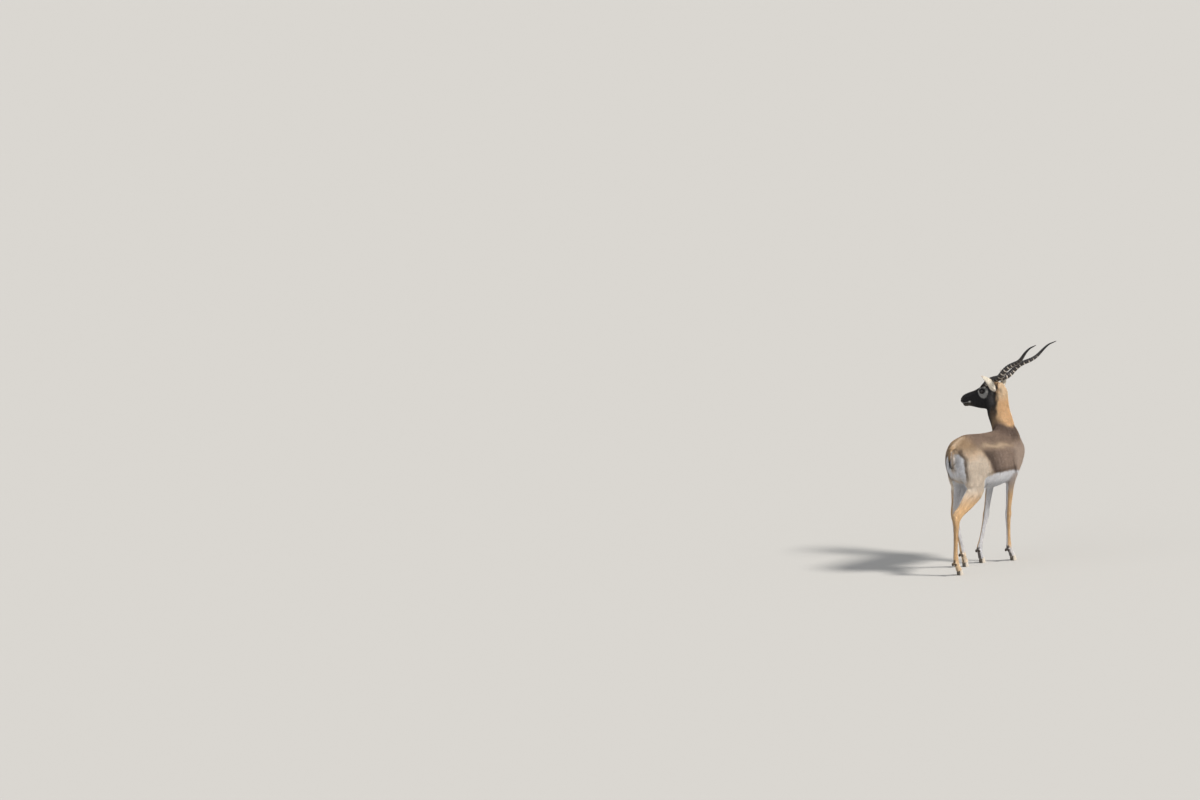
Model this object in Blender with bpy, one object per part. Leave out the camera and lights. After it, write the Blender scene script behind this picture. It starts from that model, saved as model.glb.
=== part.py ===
import math

import bmesh
import bpy
import numpy as np
from mathutils import Matrix, Vector

# A standing male blackbuck, life size, in the middle of a slow step, its head turned to its left.
# X runs forward along the body, Y to the animal's left, Z up. The floor is at zero.

# Sizes in metres
WITHERS = 0.805
HOOF_GAP = 0.0003
PART_GAP = 0.0003
BODY_STEP = 0.0060
HEAD_STEP = 0.0021
BODY_FACES = 6400
HEAD_FACES = 3300

# Head: its middle between the eyes, the heading seen from above, the pitch and the roll in degrees
HEAD_AT = (0.693, 0.200, 0.991)
HEAD_HEADING = 104.0
HEAD_PITCH = 17.5
HEAD_ROLL = 5.0
EYE_AT = (0.000, 0.0365, 0.000)
EYE_RADIUS = 0.0150
EYE_OPENING = (0.0140, 0.0120, 0.0102)

# Horns: base and tip in the head's own frame, widths, turns and rings
HORN_BASE = (-0.0346, 0.0250, 0.0345)
HORN_TIP = (-0.4573, 0.1891, 0.1690)
HORN_RADIUS = 0.0195
HORN_TURNS = 2.558
HORN_PHASE = 1.051
HORN_SWING = 0.0100
HORN_RINGS = 27
HORN_SIDES = 10
HORN_LIFT = 0.0115
HORN_BOW = 0.0182

# Ears: root, tip of the left one and tip of the right one in the head's own frame
EAR_ROOT = (-0.086, 0.0575, -0.021)
EAR_TIP_LEFT = (-0.055, 0.149, 0.090)
EAR_TIP_RIGHT = (-0.076, 0.150, 0.103)
EAR_WIDTH = 0.050
EAR_INWARD_LEFT = -0.45
EAR_INWARD_RIGHT = -0.10
EAR_THICK = 0.0034

# Hooves: length and width of one claw, height at the toe side of the coronet
CLAW_LENGTH = 0.047
CLAW_WIDTH = 0.0148
CLAW_SPLIT = 0.0016

# Trunk sections along X: place, top, bottom, half width, level of the widest part
TRUNK = [
    (0.022, 0.735, 0.650, 0.020, 0.50),
    (0.032, 0.766, 0.600, 0.044, 0.52),
    (0.060, 0.786, 0.565, 0.064, 0.55),
    (0.115, 0.806, 0.535, 0.081, 0.55),
    (0.180, 0.815, 0.512, 0.090, 0.53),
    (0.260, 0.808, 0.486, 0.095, 0.50),
    (0.350, 0.799, 0.468, 0.104, 0.46),
    (0.440, 0.794, 0.463, 0.109, 0.44),
    (0.530, 0.795, 0.470, 0.103, 0.44),
    (0.600, 0.801, 0.482, 0.088, 0.44),
    (0.650, WITHERS, 0.500, 0.070, 0.42),
    (0.695, 0.786, 0.530, 0.056, 0.42),
    (0.727, 0.745, 0.570, 0.042, 0.45),
    (0.745, 0.700, 0.625, 0.020, 0.50),
]

# Neck, poll end last: centre, half width across, half depth
NECK = [
    (0.600, 0.006, 0.672, 0.066, 0.115),
    (0.650, 0.030, 0.740, 0.067, 0.092),
    (0.685, 0.070, 0.808, 0.065, 0.077),
    (0.699, 0.104, 0.872, 0.066, 0.072),
    (0.705, 0.116, 0.930, 0.064, 0.069),
    (0.708, 0.114, 0.975, 0.057, 0.063),
]

# Legs, hoof end last: centre, half width across, half depth
FORE_RIGHT = [
    (0.625, -0.058, 0.610, 0.032, 0.064),
    (0.583, -0.063, 0.530, 0.028, 0.044),
    (0.564, -0.063, 0.470, 0.0225, 0.0310),
    (0.558, -0.060, 0.390, 0.0180, 0.0225),
    (0.554, -0.057, 0.325, 0.0152, 0.0175),
    (0.554, -0.056, 0.290, 0.0185, 0.0200),
    (0.553, -0.055, 0.262, 0.0150, 0.0165),
    (0.556, -0.055, 0.200, 0.0118, 0.0138),
    (0.560, -0.055, 0.130, 0.0118, 0.0138),
    (0.565, -0.055, 0.086, 0.0160, 0.0180),
    (0.584, -0.055, 0.056, 0.0140, 0.0155),
    (0.602, -0.055, 0.030, 0.0175, 0.0200),
]
FORE_LEFT = [
    (0.620, 0.058, 0.610, 0.032, 0.064),
    (0.566, 0.063, 0.525, 0.028, 0.046),
    (0.540, 0.063, 0.465, 0.0225, 0.0320),
    (0.513, 0.060, 0.385, 0.0180, 0.0225),
    (0.492, 0.057, 0.320, 0.0152, 0.0175),
    (0.483, 0.056, 0.286, 0.0185, 0.0200),
    (0.472, 0.055, 0.258, 0.0150, 0.0165),
    (0.449, 0.054, 0.200, 0.0118, 0.0138),
    (0.424, 0.054, 0.138, 0.0118, 0.0138),
    (0.407, 0.054, 0.093, 0.0160, 0.0180),
    (0.414, 0.054, 0.058, 0.0140, 0.0155),
    (0.426, 0.054, 0.030, 0.0175, 0.0200),
]
HIND_RIGHT = [
    (0.118, -0.046, 0.670, 0.042, 0.078),
    (0.145, -0.057, 0.590, 0.040, 0.095),
    (0.170, -0.068, 0.510, 0.037, 0.080),
    (0.110, -0.066, 0.450, 0.030, 0.060),
    (0.045, -0.063, 0.405, 0.024, 0.044),
    (0.003, -0.061, 0.372, 0.0195, 0.0300),
    (-0.032, -0.060, 0.338, 0.0190, 0.0245),
    (-0.040, -0.060, 0.298, 0.0170, 0.0210),
    (-0.043, -0.060, 0.235, 0.0130, 0.0158),
    (-0.045, -0.060, 0.145, 0.0122, 0.0146),
    (-0.040, -0.060, 0.086, 0.0162, 0.0185),
    (-0.022, -0.060, 0.055, 0.0142, 0.0158),
    (-0.006, -0.060, 0.030, 0.0178, 0.0200),
]
HIND_LEFT = [
    (0.118, 0.046, 0.670, 0.042, 0.078),
    (0.165, 0.057, 0.600, 0.040, 0.098),
    (0.205, 0.068, 0.530, 0.037, 0.085),
    (0.190, 0.067, 0.465, 0.031, 0.068),
    (0.172, 0.066, 0.410, 0.024, 0.048),
    (0.156, 0.065, 0.365, 0.0195, 0.0320),
    (0.152, 0.065, 0.330, 0.0190, 0.0250),
    (0.160, 0.065, 0.292, 0.0170, 0.0210),
    (0.182, 0.065, 0.232, 0.0130, 0.0158),
    (0.214, 0.065, 0.148, 0.0122, 0.0146),
    (0.236, 0.065, 0.090, 0.0162, 0.0185),
    (0.250, 0.065, 0.057, 0.0142, 0.0158),
    (0.262, 0.065, 0.030, 0.0178, 0.0200),
]

# Sole centres of the four feet
SOLES = {
    "fore_right": (0.618, -0.055),
    "fore_left": (0.442, 0.054),
    "hind_right": (0.010, -0.060),
    "hind_left": (0.272, 0.065),
}

# Muzzle and jaw sections along the head: place, top, bottom, half width, level of the widest part
HEAD_SECTIONS = [
    (-0.100, 0.024, -0.050, 0.024, 0.55),
    (-0.080, 0.031, -0.080, 0.038, 0.62),
    (-0.040, 0.036, -0.100, 0.044, 0.66),
    (-0.005, 0.036, -0.106, 0.0445, 0.70),
    (0.028, 0.026, -0.102, 0.0395, 0.68),
    (0.060, 0.018, -0.090, 0.0325, 0.60),
    (0.090, 0.016, -0.075, 0.0280, 0.52),
    (0.116, 0.013, -0.063, 0.0265, 0.48),
    (0.136, 0.008, -0.056, 0.0250, 0.48),
    (0.148, -0.001, -0.047, 0.0190, 0.50),
    (0.153, -0.010, -0.036, 0.0100, 0.50),
]

# Tail, tip last: centre, half width across, half depth
TAIL_ROOT = (0.006, 0.000, 0.758)
TAIL_WAY = (-0.94, 0.0, -0.34)
TAIL = [
    (0.006, 0.000, 0.758, 0.0125, 0.0115),
    (-0.010, 0.000, 0.746, 0.0135, 0.0105),
    (-0.017, 0.000, 0.722, 0.0150, 0.0095),
    (-0.014, 0.001, 0.694, 0.0155, 0.0090),
    (-0.006, 0.002, 0.664, 0.0150, 0.0085),
    (0.000, 0.003, 0.636, 0.0110, 0.0070),
    (0.003, 0.003, 0.614, 0.0040, 0.0035),
]

COLOURS = {
    "coat": (0.30, 0.20, 0.12),
    "face": (0.06, 0.05, 0.045),
    "ear": (0.62, 0.52, 0.42),
    "eye": (0.012, 0.009, 0.008),
    "horn": (0.055, 0.045, 0.038),
    "hoof": (0.06, 0.045, 0.035),
    "tail": (0.35, 0.22, 0.12),
}


# Curves and rows of numbers


def smooth_rows(rows, parts):
    """Rows of numbers joined by a smooth curve that passes through each of them."""
    rows = np.array(rows, float)
    before = np.vstack([rows[:1], rows[:-1]])
    after = np.vstack([rows[1:], rows[-1:]])
    slope = (after - before) / 2
    slope[0] *= 2
    slope[-1] *= 2
    out = []
    for i in range(len(rows) - 1):
        for part in range(parts):
            t = part / parts
            a = 2 * t ** 3 - 3 * t ** 2 + 1
            b = t ** 3 - 2 * t ** 2 + t
            c = -2 * t ** 3 + 3 * t ** 2
            d = t ** 3 - t ** 2
            out.append(a * rows[i] + b * slope[i] + c * rows[i + 1] + d * slope[i + 1])
    out.append(rows[-1])
    return np.array(out)


def unit(vector):
    vector = np.array(vector, float)
    return vector / np.linalg.norm(vector)


# Frames


def head_frame():
    """Columns: the head's forward, left and up directions."""
    turn = math.radians(HEAD_HEADING)
    pitch = math.radians(HEAD_PITCH)
    roll = math.radians(HEAD_ROLL)
    level = np.array([math.cos(turn), math.sin(turn), 0.0])
    left = np.array([-math.sin(turn), math.cos(turn), 0.0])
    up = np.array([0.0, 0.0, 1.0])
    forward = level * math.cos(pitch) - up * math.sin(pitch)
    top = level * math.sin(pitch) + up * math.cos(pitch)
    side = left * math.cos(roll) + top * math.sin(roll)
    crown = top * math.cos(roll) - left * math.sin(roll)
    return np.column_stack([forward, side, crown])


HEAD_AXES = head_frame()


def from_head(points):
    """Points of the head's frame in the frame of the whole animal."""
    return np.array(points, float) @ HEAD_AXES.T + np.array(HEAD_AT)


def to_head(points):
    return (points - np.array(HEAD_AT)) @ HEAD_AXES


# Forms as distance fields: below zero inside, above zero outside


def blob(centre, radii, pitch=0.0, yaw=0.0):
    """An ellipsoid, tipped about Y and turned about Z, in degrees."""
    centre = np.array(centre, float)
    radii = np.array(radii, float)
    turn = Matrix.Rotation(math.radians(yaw), 3, "Z") @ Matrix.Rotation(math.radians(pitch), 3, "Y")
    axes = np.array(turn)
    reach = np.sqrt(((axes * radii) ** 2).sum(axis=1))

    def distance(points):
        local = (points - centre) @ axes
        length = np.linalg.norm(local, axis=-1)
        level = np.linalg.norm(local / radii, axis=-1)
        return length * (1 - 1 / np.maximum(level, 1e-3))

    return distance, centre - reach, centre + reach


def limb(rows, parts=3, side=(0, 1, 0)):
    """A round limb through rows of centre, half width across and half depth."""
    rows = smooth_rows(rows, parts)
    side = np.array(side, float)
    reach = rows[:, 3:5].max(axis=1, keepdims=True)

    def distance(points):
        best = np.full(points.shape[0], 9.0)
        for start, end in zip(rows[:-1], rows[1:]):
            along = end[:3] - start[:3]
            span = np.linalg.norm(along)
            axis = along / span
            across = side - axis * (side @ axis)
            across /= np.linalg.norm(across)
            deep = np.cross(axis, across)
            t = np.clip((points - start[:3]) @ axis / span, 0, 1)
            offset = points - start[:3] - t[:, None] * along
            wide = start[3] + t * (end[3] - start[3])
            depth = start[4] + t * (end[4] - start[4])
            level = np.sqrt(
                (offset @ across / wide) ** 2
                + (offset @ deep / depth) ** 2
                + (offset @ axis / np.minimum(wide, depth)) ** 2
            )
            length = np.linalg.norm(offset, axis=1)
            best = np.minimum(best, length * (1 - 1 / np.maximum(level, 1e-3)))
        return best

    return distance, (rows[:, :3] - reach).min(axis=0), (rows[:, :3] + reach).max(axis=0)


def hull(sections, power=2.2, parts=5):
    """A body along X through sections of top, bottom, half width and level of the widest part."""
    rows = smooth_rows(sections, parts)
    place, top, bottom, wide, level = rows.T
    low = np.array([place[0], -wide.max(), bottom.min()])
    high = np.array([place[-1], wide.max(), top.max()])

    def distance(points):
        x = np.clip(points[:, 0], place[0], place[-1])
        here_top = np.interp(x, place, top)
        here_bottom = np.interp(x, place, bottom)
        here_wide = np.interp(x, place, wide)
        middle = here_bottom + np.interp(x, place, level) * (here_top - here_bottom)
        z = points[:, 2] - middle
        tall = np.where(z > 0, here_top - middle, middle - here_bottom)
        over = points[:, 0] - x
        ring = (np.abs(points[:, 1] / here_wide) ** power + np.abs(z / tall) ** power) ** (1 / power)
        ratio = np.sqrt(ring ** 2 + (over / np.minimum(here_wide, tall)) ** 2)
        length = np.sqrt(points[:, 1] ** 2 + z ** 2 + over ** 2)
        return length * (1 - 1 / np.maximum(ratio, 1e-3))

    return distance, low, high


def in_head(shape):
    """A shape of the head's frame, placed on the animal."""
    distance, low, high = shape
    corners = np.array([[x, y, z] for x in (low[0], high[0]) for y in (low[1], high[1])
                        for z in (low[2], high[2])])
    corners = from_head(corners)
    return (lambda points: distance(to_head(points))), corners.min(axis=0), corners.max(axis=0)


class Form:
    """Shapes added or carved one after the other, each with its own softness at the joint."""

    def __init__(self):
        self.steps = []

    def add(self, shape, soft):
        self.steps.append((shape, soft, 1))

    def carve(self, shape, soft):
        self.steps.append((shape, soft, -1))

    def at(self, points, start=0.05):
        value = np.full(points.shape[0], start)
        for (distance, low, high), soft, kind in self.steps:
            near = np.all((points > low - soft - 0.012) & (points < high + soft + 0.012), axis=1)
            if near.any():
                value[near] = blend(value[near], distance(points[near]), soft, kind)
        return value

    def slope(self, points):
        eps = 0.0004
        out = np.empty_like(points)
        for axis in range(3):
            shift = np.zeros(3)
            shift[axis] = eps
            out[:, axis] = (self.at(points + shift) - self.at(points - shift)) / (2 * eps)
        return out


def blend(value, other, soft, kind):
    """Soft union, or soft carving where kind is -1."""
    if kind < 0:
        other = -other
        mix = np.clip(0.5 - 0.5 * (other - value) / soft, 0, 1)
        return other + (value - other) * mix + soft * mix * (1 - mix)
    mix = np.clip(0.5 + 0.5 * (other - value) / soft, 0, 1)
    return other + (value - other) * mix - soft * mix * (1 - mix)


CORNERS = np.array([[x, y, z] for x in (0, 1) for y in (0, 1) for z in (0, 1)])
EDGES = [(a, b) for a in range(8) for b in range(a + 1, 8)
         if np.abs(CORNERS[a] - CORNERS[b]).sum() == 1]


def surface(form, low, high, step):
    """Vertices and four-sided faces of the form's zero level on an even grid."""
    low = np.array(low, float)
    count = np.ceil((np.array(high) - low) / step).astype(int) + 1
    value = np.full(count, 0.05)
    for (distance, box_low, box_high), soft, kind in form.steps:
        first = np.clip(((box_low - soft - 0.012 - low) / step).astype(int), 0, count)
        last = np.clip(((box_high + soft + 0.012 - low) / step).astype(int) + 2, 0, count)
        if np.any(last <= first):
            continue
        spans = [low[i] + step * np.arange(first[i], last[i]) for i in range(3)]
        grid = np.stack(np.meshgrid(*spans, indexing="ij"), axis=-1)
        block = (slice(first[0], last[0]), slice(first[1], last[1]), slice(first[2], last[2]))
        other = distance(grid.reshape(-1, 3)).reshape(grid.shape[:3])
        value[block] = blend(value[block], other, soft, kind)
    inside = value < 0
    total = sum(inside[x:x + count[0] - 1, y:y + count[1] - 1, z:z + count[2] - 1].astype(np.int8)
                for x, y, z in CORNERS)
    cells = np.argwhere((total > 0) & (total < 8))
    number = np.full(count, -1, np.int32)
    number[tuple(cells.T)] = np.arange(len(cells))
    levels = np.stack([value[tuple((cells + corner).T)] for corner in CORNERS], axis=1)
    summed = np.zeros((len(cells), 3))
    hits = np.zeros(len(cells))
    for a, b in EDGES:
        cross = (levels[:, a] < 0) != (levels[:, b] < 0)
        t = np.where(cross, levels[:, a] / (levels[:, a] - levels[:, b] + 1e-30), 0)
        spot = CORNERS[a] + t[:, None] * (CORNERS[b] - CORNERS[a])
        summed += spot * cross[:, None]
        hits += cross
    points = low + step * (cells + summed / hits[:, None])
    faces = []
    for axis in range(3):
        one, two = [i for i in range(3) if i != axis]
        ahead = [slice(None)] * 3
        behind = [slice(None)] * 3
        ahead[axis] = slice(1, None)
        behind[axis] = slice(None, -1)
        change = inside[tuple(behind)] != inside[tuple(ahead)]
        spots = np.argwhere(change)
        spots = spots[(spots[:, one] > 0) & (spots[:, two] > 0)]
        ring = []
        for i, j in ((0, 0), (-1, 0), (-1, -1), (0, -1)):
            cell = spots.copy()
            cell[:, one] += i
            cell[:, two] += j
            ring.append(number[tuple(cell.T)])
        quad = np.stack(ring, axis=1)
        solid = inside[tuple(spots.T)]
        flip = solid if axis == 1 else ~solid
        quad[flip] = quad[flip][:, ::-1]
        faces.append(quad)
    return points, np.vstack(faces)


def settled(form, points, step, rounds=3):
    """Points moved onto the form's zero level."""
    for _ in range(rounds):
        slope = form.slope(points)
        size = (slope ** 2).sum(axis=1)
        move = slope * (form.at(points) / np.maximum(size, 0.05))[:, None]
        length = np.linalg.norm(move, axis=1)
        move *= np.minimum(1, 0.45 * step / np.maximum(length, 1e-9))[:, None]
        points = points - move
    return points


def parted(points, faces, step):
    """The surface with places where two sheets meet along an edge drawn slightly apart."""
    sides = np.vstack([faces[:, [i, (i + 1) % 4]] for i in range(4)])
    owner = np.tile(np.arange(len(faces)), 4)
    keys = np.sort(sides, axis=1)
    order = np.lexsort((keys[:, 1], keys[:, 0]))
    keys = keys[order]
    owner = owner[order]
    start = np.flatnonzero(np.r_[True, np.any(keys[1:] != keys[:-1], axis=1)])
    size = np.diff(np.r_[start, len(keys)])
    crowded = {tuple(keys[i]) for i in start[size > 2]}
    troubled = {v for key in crowded for v in key}
    if not troubled:
        return points, faces
    rounds = {v: [] for v in troubled}
    for index in np.flatnonzero(np.isin(faces, list(troubled)).any(axis=1)):
        for v in faces[index]:
            if v in rounds:
                rounds[v].append(index)
    points = list(points)
    faces = faces.copy()
    original = faces.copy()
    moves = []
    for v, around in rounds.items():
        left = set(around)
        first = True
        while left:
            group = [left.pop()]
            for face in group:
                corners = original[face]
                for other in list(left):
                    shared = set(corners) & set(original[other]) - {v}
                    if any(tuple(sorted((v, w))) not in crowded for w in shared):
                        left.discard(other)
                        group.append(other)
            target = v if first else len(points)
            if not first:
                points.append(points[v])
                for face in group:
                    faces[face][original[face] == v] = target
            first = False
            moves.append((target, group))
    middle = {}
    for target, group in moves:
        middle[target] = np.mean([np.mean([points[w] for w in original[face]], axis=0) for face in group], axis=0)
    for target, centre in middle.items():
        away = centre - points[target]
        points[target] = points[target] + away * min(1.0, 0.12 * step / max(np.linalg.norm(away), 1e-9))
    return np.array(points), faces


# Meshes


def mesh_of(name, points, faces):
    mesh = bpy.data.meshes.new(name)
    mesh.from_pydata([tuple(p) for p in points], [], [tuple(int(i) for i in f) for f in faces])
    mesh.update()
    return mesh


def placed(name, mesh, material):
    item = bpy.data.objects.new(name, mesh)
    bpy.context.scene.collection.objects.link(item)
    mesh.name = name
    mesh.materials.clear()
    mesh.materials.append(material)
    mesh.shade_smooth()
    mesh.set_sharp_from_angle(angle=math.radians(50))
    return item


def thinned(points, faces, target, keep=None):
    """The same surface with about the wanted number of triangles."""
    item = bpy.data.objects.new("coarse", mesh_of("coarse", points, faces))
    bpy.context.scene.collection.objects.link(item)
    modifier = item.modifiers.new("thin", "DECIMATE")
    modifier.ratio = target / (2 * len(faces))
    if keep is not None:
        group = item.vertex_groups.new(name="thin")
        for i, weight in enumerate(keep):
            group.add([i], float(weight), "REPLACE")
        modifier.vertex_group = "thin"
        modifier.vertex_group_factor = 0.2
    shown = item.evaluated_get(bpy.context.evaluated_depsgraph_get())
    mesh = bpy.data.meshes.new_from_object(shown)
    out = bmesh.new()
    out.from_mesh(mesh)
    bpy.data.objects.remove(item)
    bpy.data.meshes.remove(mesh)
    bmesh.ops.triangulate(out, faces=out.faces)
    return out


def crossed(face, point, normal, reach):
    """Whether a plane crosses the face within reach of the point."""
    for edge in face.edges:
        start, end = (v.co for v in edge.verts)
        a = (start - point).dot(normal)
        b = (end - point).dot(normal)
        if a * b <= 0 and a != b and (start.lerp(end, a / (a - b)) - point).length < reach:
            return True
    return False


def cut_apart(body, point, normal, reach, side=0):
    """Two flat faces, a part's gap from each other, in place of a thin slice of the body."""
    point = Vector(point)
    normal = Vector(normal).normalized()
    for offset in (PART_GAP / 2, -PART_GAP / 2):
        centre = point + normal * offset
        near = [f for f in body.faces if crossed(f, centre, normal, reach)
                and (side == 0 or f.calc_center_median().y * side > 0)]
        verts = {v for f in near for v in f.verts}
        edges = {e for f in near for e in f.edges}
        done = bmesh.ops.bisect_plane(
            body, geom=list(verts) + list(edges) + near, plane_co=centre, plane_no=normal, dist=1e-5)
        for item in done["geom_cut"]:
            if isinstance(item, bmesh.types.BMVert):
                item.co -= normal * (item.co - centre).dot(normal)
    middle = [f for f in body.faces
              if abs((f.calc_center_median() - point).dot(normal)) < PART_GAP / 2 - 1e-9
              and (f.calc_center_median() - point).length < reach
              and (side == 0 or f.calc_center_median().y * side > 0)
              and all(abs((v.co - point).dot(normal)) < PART_GAP * 0.51 for v in f.verts)]
    bmesh.ops.delete(body, geom=middle, context="FACES")
    loose = [e for e in body.edges if not e.link_faces]
    bmesh.ops.delete(body, geom=loose, context="EDGES")
    loose = [v for v in body.verts if not v.link_edges]
    bmesh.ops.delete(body, geom=loose, context="VERTS")
    border = [e for e in body.edges if len(e.link_faces) == 1]
    filled = bmesh.ops.holes_fill(body, edges=border, sides=0)
    bmesh.ops.triangulate(body, faces=filled["faces"], ngon_method="EAR_CLIP")


def islands(body):
    """Lists of vertices that hang together."""
    left = set(body.verts)
    out = []
    while left:
        seed = left.pop()
        group = [seed]
        stack = [seed]
        while stack:
            for edge in stack.pop().link_edges:
                for vert in edge.verts:
                    if vert in left:
                        left.remove(vert)
                        group.append(vert)
                        stack.append(vert)
        out.append(group)
    return out


def parts_of(body, wanted):
    """One mesh for each wanted name: the island that holds the vertex nearest the name's point."""
    groups = islands(body)
    meshes = {}
    for name, point in wanted.items():
        point = Vector(point)
        best = min(groups, key=lambda g: min((v.co - point).length for v in g))
        number = {v: i for i, v in enumerate(best)}
        faces = {f for v in best for f in v.link_faces}
        mesh = mesh_of(name, [v.co[:] for v in best],
                       [[number[v] for v in f.verts] for f in sorted(faces, key=lambda f: f.index)])
        fixed = bmesh.new()
        fixed.from_mesh(mesh)
        bmesh.ops.triangulate(fixed, faces=fixed.faces)
        bmesh.ops.recalc_face_normals(fixed, faces=fixed.faces)
        fixed.to_mesh(mesh)
        fixed.free()
        meshes[name] = mesh
    return meshes


# The body


def body_form():
    """Trunk, neck, muscles and legs as one soft form."""
    form = Form()
    form.add(hull(TRUNK), 0.010)
    form.add(limb(NECK), 0.030)
    for side in (-1, 1):
        form.add(blob((0.628, side * 0.048, 0.665), (0.058, 0.036, 0.125), pitch=-22), 0.030)
        form.add(blob((0.592, side * 0.058, 0.580), (0.052, 0.030, 0.062), pitch=-30), 0.026)
        form.add(blob((0.692, side * 0.038, 0.640), (0.044, 0.034, 0.066), pitch=20), 0.030)
        form.add(blob((0.120, side * 0.046, 0.680), (0.090, 0.038, 0.098), pitch=15), 0.034)
    form.add(limb(FORE_RIGHT), 0.022)
    form.add(limb(FORE_LEFT), 0.022)
    form.add(limb(HIND_RIGHT), 0.026)
    form.add(limb(HIND_LEFT), 0.026)
    form.add(limb([(0.066, 0, 0.768, 0.020, 0.018),
                   (TAIL_ROOT[0] - 0.006, 0, TAIL_ROOT[2] - 0.002, 0.0150, 0.0150)], 1), 0.020)
    form.carve(seat(TAIL_ROOT, TAIL_WAY, 0.0175, 0.040), 0.0002)
    for rows in (HIND_RIGHT, HIND_LEFT):
        hock = np.array(rows[6][:3])
        heel = hock + np.array([-0.030, 0.0, 0.026])
        start = np.array(rows[3][:3]) + np.array([-0.050, 0.0, 0.012])
        middle = (start + heel) / 2 + np.array([0.004, 0.0, 0.0])
        form.add(limb([(*start, 0.012, 0.014), (*middle, 0.0080, 0.0100), (*heel, 0.0115, 0.0125),
                       (*(hock + np.array([-0.024, 0.0, -0.020])), 0.0100, 0.0110)]), 0.016)
    for rows in (FORE_RIGHT, FORE_LEFT, HIND_RIGHT, HIND_LEFT):
        pastern = np.array(rows[-3][:3])
        for side in (-1, 1):
            claw = pastern + np.array([-0.018, side * 0.0095, -0.014])
            form.add(blob(claw, (0.0095, 0.0075, 0.0115), pitch=30), 0.006)
    return form


def add_head(form, fine):
    """The head on the form; fine work is left out where fine is false."""
    form.add(in_head(hull(HEAD_SECTIONS)), 0.026)
    form.add(in_head(blob((-0.052, 0, 0.000), (0.058, 0.043, 0.037))), 0.020)
    for side in (-1, 1):
        form.add(in_head(blob((-0.030, side * 0.026, -0.048), (0.046, 0.018, 0.040), pitch=15)), 0.014)
        form.add(in_head(blob((0.002, side * 0.034, 0.006), (0.027, 0.014, 0.022))), 0.010)
        form.add(in_head(limb([(0.036, side * 0.024, -0.010, 0.010, 0.010),
                               (0.000, side * 0.034, -0.022, 0.010, 0.010),
                               (-0.040, side * 0.038, -0.016, 0.009, 0.009)])), 0.010)
        base = np.array(HORN_BASE) * (1, side, 1)
        start = base - horn_start(side) * 0.030
        end = base + horn_start(side) * 0.004
        form.add(in_head(limb([(*start, 0.0225, 0.0225), (*end, 0.0220, 0.0220)], 1, (0, 1, 0))), 0.012)
        root = np.array(EAR_ROOT) * (1, side, 1)
        inner = root - ear_rise(side) * 0.030
        inner[1] = side * 0.032
        form.add(in_head(limb([(*inner, 0.0160, 0.0160), (*root, 0.0140, 0.0140)], 1, (1, 0, 0))), 0.012)
    form.add(in_head(blob((0.132, 0, -0.048), (0.020, 0.020, 0.012))), 0.010)
    if not fine:
        return
    for side in (-1, 1):
        lip = [(0.096, 0.0270, -0.0360), (0.112, 0.0268, -0.0345), (0.128, 0.0250, -0.0335),
               (0.142, 0.0185, -0.0325), (0.150, 0.0080, -0.0320), (0.152, 0.0, -0.0320)]
        upper = [(x, side * y, z + 0.0052, 0.0042, 0.0042) for x, y, z in lip]
        lower = [(x - 0.003, side * y * 0.94, z - 0.0058, 0.0040, 0.0040) for x, y, z in lip]
        form.add(in_head(limb(upper, 2)), 0.006)
        form.add(in_head(limb(lower, 2)), 0.006)
        form.add(in_head(blob((0.146, side * 0.0125, -0.0120), (0.0085, 0.0075, 0.0090))), 0.005)
        groove = []
        for x, y, z in lip:
            front = ((x - lip[0][0]) / (lip[-1][0] - lip[0][0])) ** 2
            groove.append((x + 0.0045 * front, side * (y + 0.0030 * (1 - front)), z, 0.0023, 0.0020))
        form.carve(in_head(limb(groove, 2, (0, 0, 1))), 0.0020)
        form.carve(in_head(limb([(0.156, side * 0.0150, -0.0135, 0.0036, 0.0026),
                                 (0.149, side * 0.0190, -0.0085, 0.0034, 0.0024),
                                 (0.141, side * 0.0215, -0.0085, 0.0018, 0.0016)], 2, (0, 0, 1))), 0.0022)
        form.carve(in_head(limb([(0.031, side * 0.0425, -0.0110, 0.0022, 0.0022),
                                 (0.019, side * 0.0475, -0.0070, 0.0020, 0.0020)], 1)), 0.003)
        ring = []
        for i in range(13):
            turn = 2 * math.pi * i / 12
            wide = EYE_OPENING[0] * 1.05 * math.cos(turn)
            tall = EYE_OPENING[2] * (1.05 + 0.10 * math.sin(turn)) * math.sin(turn) + 0.08 * wide
            spot = np.array([wide, 0.0, tall])
            spot[1] = math.sqrt(max(EYE_RADIUS ** 2 - wide ** 2 - tall ** 2, 1e-8))
            spot *= (EYE_RADIUS + 0.0010) / EYE_RADIUS
            spot = (np.array(EYE_AT) + spot) * (1, side, 1)
            thick = 0.0034 if math.sin(turn) > 0.2 else 0.0028
            ring.append((*spot, thick, thick))
        form.add(in_head(limb(ring, 1)), 0.005)
        eye = np.array(EYE_AT) * (1, side, 1)
        door = eye + np.array([0.0, side * 0.0170, 0.0])
        form.carve(in_head(blob(door, EYE_OPENING, pitch=-5)), 0.0015)
        radius = EYE_RADIUS + PART_GAP + 0.0001
        form.carve(in_head(blob(eye, (radius, radius, radius))), 0.0002)
        base = np.array(HORN_BASE) * (1, side, 1)
        form.carve(in_head(seat(base, horn_start(side), 0.0258, 0.034)), 0.0002)
        places = np.array([0.06, 0.10, 0.15, 0.20])
        trough = [(*spot, wide, wide) for spot, wide in
                  zip(horn_path(side, places), horn_width(places) * 1.18 + 0.0010)]
        form.carve(in_head(limb(trough, 2)), 0.0002)
        root = np.array(EAR_ROOT) * (1, side, 1)
        form.carve(in_head(seat(root, ear_rise(side), 0.0168, 0.040)), 0.0002)


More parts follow.
